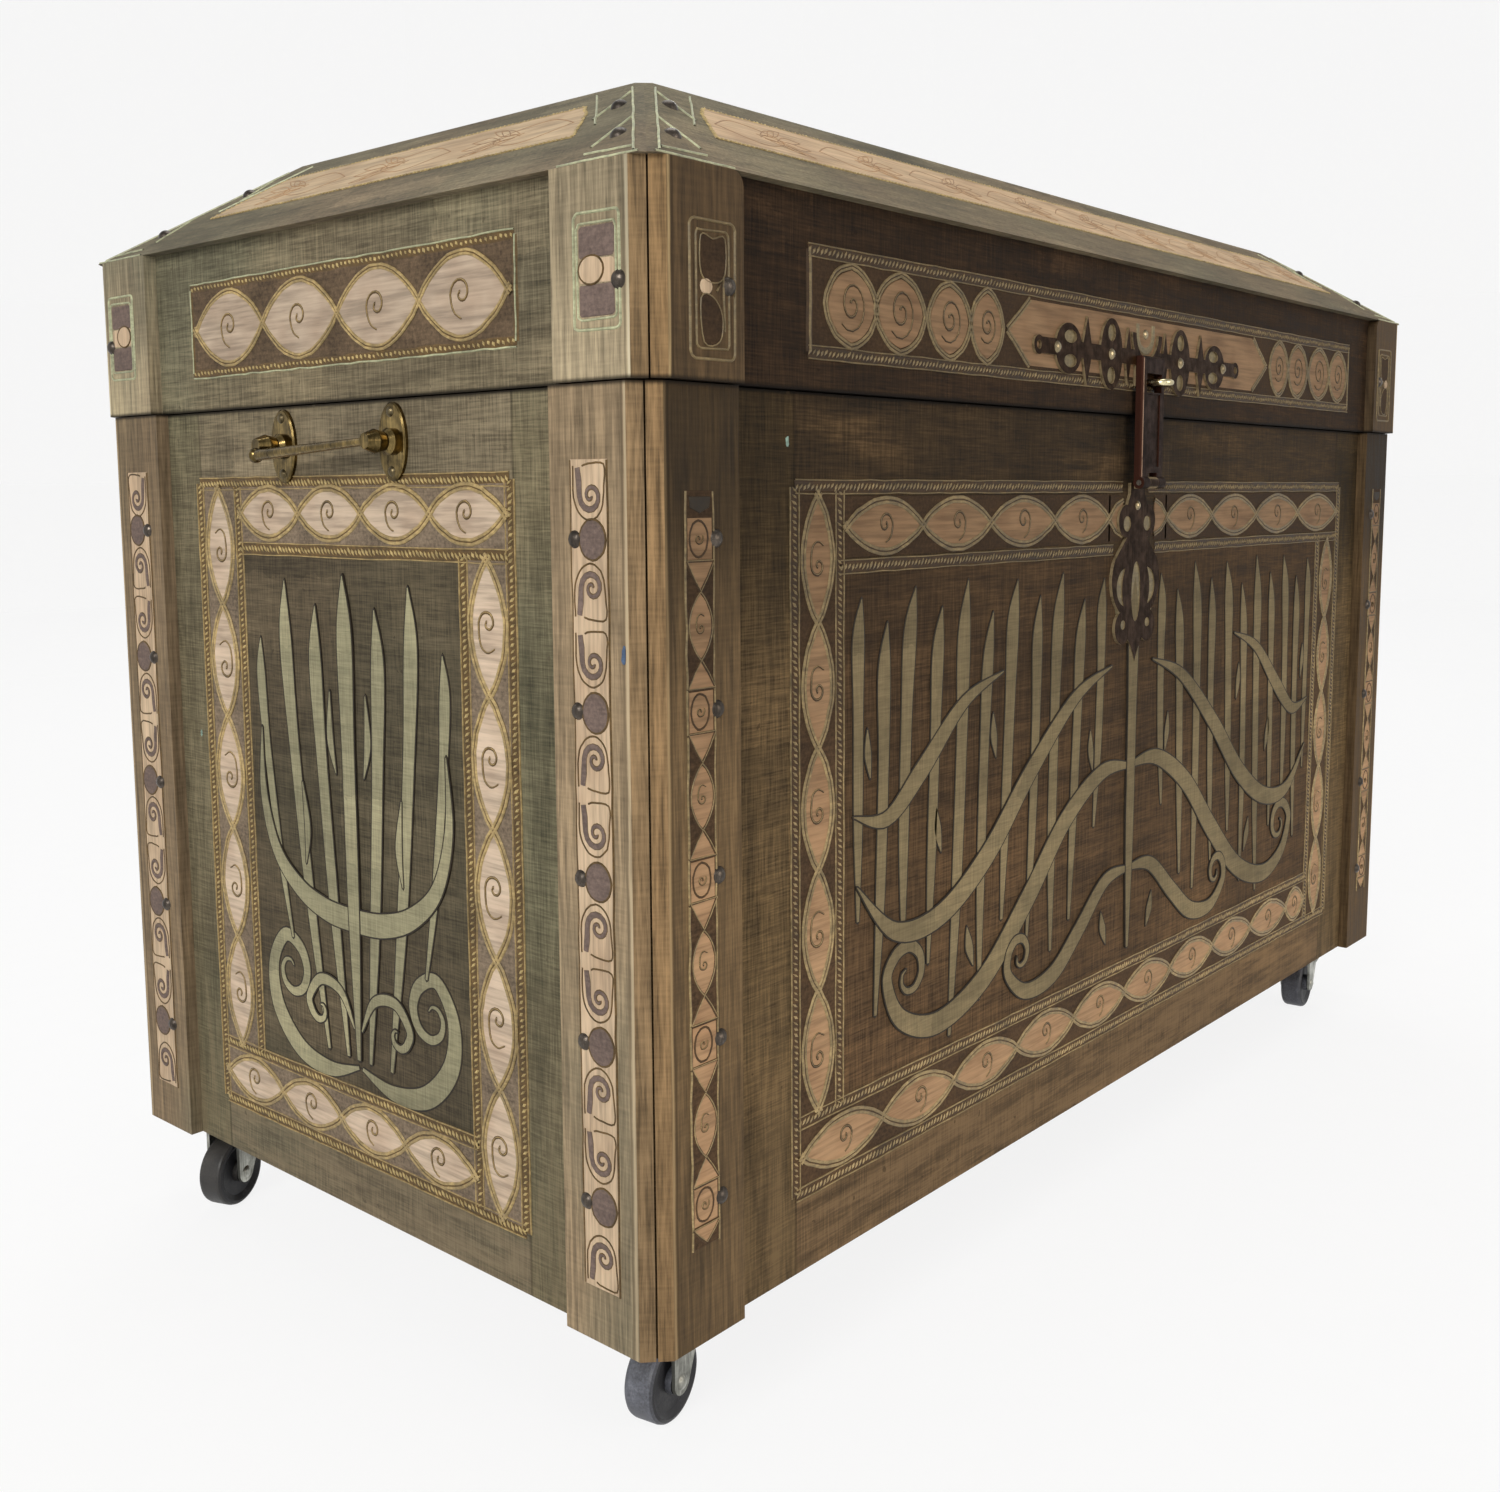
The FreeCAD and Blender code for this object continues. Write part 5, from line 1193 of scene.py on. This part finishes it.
def lid_front_plank_frame(face):
    """Double frame with two dark blobs, a pale spot and a bent gold line."""
    u0, u1, v0, v1 = 29.5, 63.5, 534, 603
    double_frame(face, P_GOLD, u0, u1, v0, v1, 4.5)
    upper = [(u0 + 8, v1 - 8), (u0 + 17, v1 - 9), (u1 - 8, v1 - 8), (u1 - 8, v1 - 26), (u0 + 18, v1 - 31),
             (u0 + 8, v1 - 27)]
    lower = [(u0 + 8, v0 + 30), (u0 + 17, v0 + 31), (u0 + 24, v0 + 22), (u0 + 22, v0 + 9), (u0 + 10, v0 + 8)]
    for blob in (curve(upper, 4, True), curve(lower, 4, True)):
        fill(face, P_DARK_BAND, blob, 0.5)
        ribbon(face, P_GOLD, blob, 0.9, 0.75, closed=True, base=0.3)
    fill(face, P_PLANK, circle(u0 + 12, v0 + 36, 4.6, 4.2, 16), 0.7)
    ribbon(face, P_GOLD, [(u0 + 20, v0 + 34), (u0 + 25, v0 + 42), (u0 + 26, v0 + 14)], 1.2, 0.8)


# Roof

def roped_field(face, shape, lift, width, pitch, line, step):
    """Pale wood with a rope and a gold line along each of its sides."""
    fill(face, P_ROOF_PALE, shape, lift)
    for a, b in sides_of(shape):
        rope(face, a, b, width, pitch, ground=False, paint=P_ROOF_ROPE)
        stroke(face, P_ROOF_GOLD, a, b, 0.4, line, 0.7, step)


def incised_leaf(face, root, tip, knees, base):
    """Two fine bent lines from a root to a tip."""
    for knee in knees:
        bend = ((root[0] + tip[0]) / 2, (root[1] + tip[1]) / 2 + knee)
        ribbon(face, P_HAIR, curve([root, bend, tip], 5), 0.9, 0.6, base=base)


def roof_band(face, length):
    """Pale wood strip between ropes, with faint incised leaf scrolls, and lines round the hip studs."""
    low, high, start, mid = 47.0, 98.0, 62.0, 72.5
    a_low, a_high = start + low * 0.55, start + high * 0.62
    point = mid + 10
    shape = [(a_low + 6, low), (length - a_low - 6, low), (length - a_high + 8, point),
             (length - a_high - 6, high), (a_high + 6, high), (a_high - 8, point)]
    roped_field(face, shape, 0.45, 4.2, 3.6, 1.1, 12)
    # Incised scrolls: a wave with leaves on both sides
    span = length - a_low - a_high - 20
    count = max(3, int(span / 88))
    step = span / count
    for i in range(count):
        u = (a_low + a_high) / 2 + 10 + (i + 0.5) * step
        for turn in (0, 1):
            sign = 1 if (i + turn) % 2 else -1
            stem = [(u - step * 0.5, mid), (u - step * 0.2, mid + sign * 15), (u + step * 0.1, mid + sign * 5),
                    (u + step * 0.02, mid - sign * 4), (u - step * 0.1, mid + sign * 2)]
            ribbon(face, P_HAIR, curve(stem, 6), 1.1, 0.6, base=0.35)
            for du, dv in ((0.28, 14), (0.36, 4), (0.2, -12)):
                root = (u + step * (du - 0.26), mid + sign * dv * 0.2)
                tip = (u + step * du, mid + sign * dv * 1.25)
                incised_leaf(face, root, tip, (5 * sign, -3 * sign), 0.35)
    hip_zone(face, length)


def hip_zone(face, length):
    """Thin pale lines that cross by the two studs near each hip."""
    for mirror in (False, True):
        def at(u, v):
            # u counts from the hip line at that height
            x = u + v * SLOPE_RUN / SLOPE
            return (length - x, v) if mirror else (x, v)

        ribbon(face, P_TEAL, shaken([at(9, v) for v in range(4, 122, 8)], 0.3), 1.5, 0.7)
        ribbon(face, P_TEAL, shaken([at(38, v) for v in range(60, 122, 8)], 0.3), 1.4, 0.7)
        for v in (37, 86):
            stroke(face, P_TEAL, at(10, v + 22), at(40, v - 16), 0.4, 1.4, 0.75, 8)
        stroke(face, P_TEAL, at(10, 10), at(44, 12), 0.4, 1.4, 0.75, 8)
        stroke(face, P_TEAL, at(6, 1.6), at(64, 1.6), 0.4, 1.3, 0.7, 6)


def top_panel():
    """Pale field with a rope edge and incised scrolls on the flat top."""
    face = Face((0, MID, EAVE + SLOPE_RISE), ALONG, DEEP, UP, "lid", TOP_RELIEF)
    hx, hy = LID_HALF - SLOPE_RUN, (LID_BACK - LID_FRONT) / 2 - SLOPE_RUN
    u, v = hx - 34, hy - 34
    roped_field(face, box(-u, -v, u, v), 0.4, 4.6, 3.9, 1.2, 14)
    for sx in (-1, 1):
        for sy in (-1, 1):
            for k in range(4):
                x, y = sx * (u - 60 - 94 * k), sy * (v - 30)
                stem = [(x + du * sx, y + dv * sy) for du, dv in ((40, 0), (18, -14), (-6, -4), (0, 5), (7, -1))]
                ribbon(face, P_HAIR, curve(stem, 6), 1.2, 0.6, base=0.3)
                for du, dv in ((-24, 14), (-30, -4), (12, 14)):
                    incised_leaf(face, (x + 4 * sx, y - 3 * sy), (x + du * sx, y + dv * sy), (4, -3), 0.3)


def build_chips():
    """Small chips and drops of paint left by use: side, paint, place, half width and height, and lift."""
    for side, paint, u, v, wide, tall, lift in (("left", P_BLUE, 17, 383, 2.2, 5.4, 9.35),
                                                ("front", P_MINT, 187, 262, 2.6, 3.4, 0.3),
                                                ("front", P_MINT, 122, 494, 1.5, 3.0, 0.3),
                                                ("left", P_MINT, 452, 300, 1.4, 2.2, 0.3)):
        shape = [(x + rng.uniform(-0.4, 0.4), y + rng.uniform(-0.6, 0.6))
                 for x, y in circle(u, v, wide, tall, 12)]
        fill(FACES[side], paint, shape, lift)


def build_ornament():
    front_frame(FACES["front"])
    end_frame(FACES["left"])
    end_frame(FACES["right"])
    end_lid_band(FACES["lid_left"])
    end_lid_band(FACES["lid_right"])
    front_lid_band(FACES["lid_front"])
    for face in plank_faces(HALF, FRONT, BACK, "chest"):
        draw = end_plank_band if face.on_end else front_plank_band
        draw(face)
    for face in plank_faces(LID_HALF, LID_FRONT, LID_BACK, "lid"):
        draw = lid_end_plank_frame if face.on_end else lid_front_plank_frame
        draw(face)
    for face, length in slope_faces():
        roof_band(face, length)
    top_panel()
    build_chips()
    for sheet in Sheet.made.values():
        sheet.build()


# Studio

def build_stage():
    """Pale sheet that lies under the chest and rises behind it."""
    mat = Mat("studio_sheet", 0.9, 0.1)
    mat.finish(mat.ramp(mat.noise(30, 3, 0.5), (0.3, (0.80, 0.80, 0.795)), (0.7, (0.83, 0.83, 0.825))))
    camera, glossy, clear = [mat.node("LightPath", name)
                             for name in ("Is Camera Ray", "Is Glossy Ray", "Is Transmission Ray")]
    seen = mat.math("MAXIMUM", mat.math("MAXIMUM", camera, glossy), clear)
    glow = mat.node("Emission", "Emission", {"Color": WHITE, "Strength": 1.0})
    shaders = {"Fac": mat.product(seen, 0.86), 1: mat.shader.outputs[0], 2: glow}
    mat.put(mat.nodes["Material Output"].inputs["Surface"], mat.node("MixShader", 0, shaders))
    rings = [(2.0, 0.0), (4.0, 0.0), (5.2, 0.12), (6.0, 0.6), (6.4, 1.4), (6.5, 3.4), (6.5, 6.0)]
    verts, faces = [(0, 0, 0)], []
    sides = 64
    for r, z in rings:
        verts += [(x, y, z) for x, y in circle(0, 0, r, count=sides)]
    for k in range(sides):
        after = (k + 1) % sides
        faces.append([0, 1 + k, 1 + after])
        for ring in range(len(rings) - 1):
            a, b = 1 + ring * sides, 1 + (ring + 1) * sides
            faces.append([a + k, b + k, b + after, a + after])
    mesh = bpy.data.meshes.new("studio_floor")
    mesh.from_pydata(verts, [], faces)
    mesh.materials.append(mat.m)
    floor = bpy.data.objects.new("studio_floor", mesh)
    bpy.context.scene.collection.objects.link(floor)


def add_light(name, place, aim, size, power, colour=WHITE):
    data = bpy.data.lights.new(name, "AREA")
    data.shape = "DISK"
    data.size = size
    data.energy = power
    data.color = colour
    lamp = bpy.data.objects.new(name, data)
    bpy.context.scene.collection.objects.link(lamp)
    lamp.location = place
    lamp.rotation_euler = (Vector(aim) - Vector(place)).to_track_quat("-Z", "Y").to_euler()


def build_light():
    world = bpy.data.worlds.new("studio_world")
    bpy.context.scene.world = world
    world.use_nodes = True
    sky = world.node_tree.nodes["Background"]
    sky.inputs["Color"].default_value = (1, 1, 1, 1)
    sky.inputs["Strength"].default_value = 0.42
    add_light("key_left", (-3.4, -0.9, 1.9), (0, 0, 0.4), 1.6, 72, (1.0, 0.985, 0.96))
    add_light("fill_front", (0.2, -3.8, 1.2), (0, 0, 0.4), 2.2, 40, (1.0, 0.9, 0.8))
    add_light("top_soft", (0.3, 0.4, 3.4), (0, 0, 0.5), 2.4, 34)
    add_light("back_right", (3.2, 3.0, 2.2), (0, 0, 0.5), 2.0, 45)


def build_camera():
    """Camera solved from the photograph: place, yaw, pitch, roll and focal length."""
    data = bpy.data.cameras.new("photo_camera")
    camera = bpy.data.objects.new("photo_camera", data)
    bpy.context.scene.collection.objects.link(camera)
    place = Vector((-1.0916, -0.8145, 0.5334))
    yaw, pitch, roll = math.radians(40.89), math.radians(-6.71), math.radians(-0.33)
    ahead = Vector((math.cos(pitch) * math.cos(yaw), math.cos(pitch) * math.sin(yaw), math.sin(pitch)))
    right = Vector((math.sin(yaw), -math.cos(yaw), 0))
    up = right.cross(ahead)
    r2 = right * math.cos(roll) + up * math.sin(roll)
    u2 = up * math.cos(roll) - right * math.sin(roll)
    camera.matrix_world = Matrix.Translation(place) @ Matrix((r2, u2, -ahead)).transposed().to_4x4()
    # Width and height of the photograph, focal length and the middle of the lens, in pixels
    width, height, focal, px, py = 1500.0, 1492.0, 1543.3, 750.9, 676.7
    data.sensor_fit = "HORIZONTAL"
    data.sensor_width = 36.0
    data.lens = focal / width * data.sensor_width
    data.shift_x = (width / 2 - px) / width
    data.shift_y = (py - height / 2) / width
    data.clip_start = 0.02
    data.clip_end = 60
    bpy.context.scene.camera = camera


dress_nodes()
build_ornament()
build_stage()
build_light()
build_camera()
bpy.context.scene.view_settings.view_transform = "Standard"
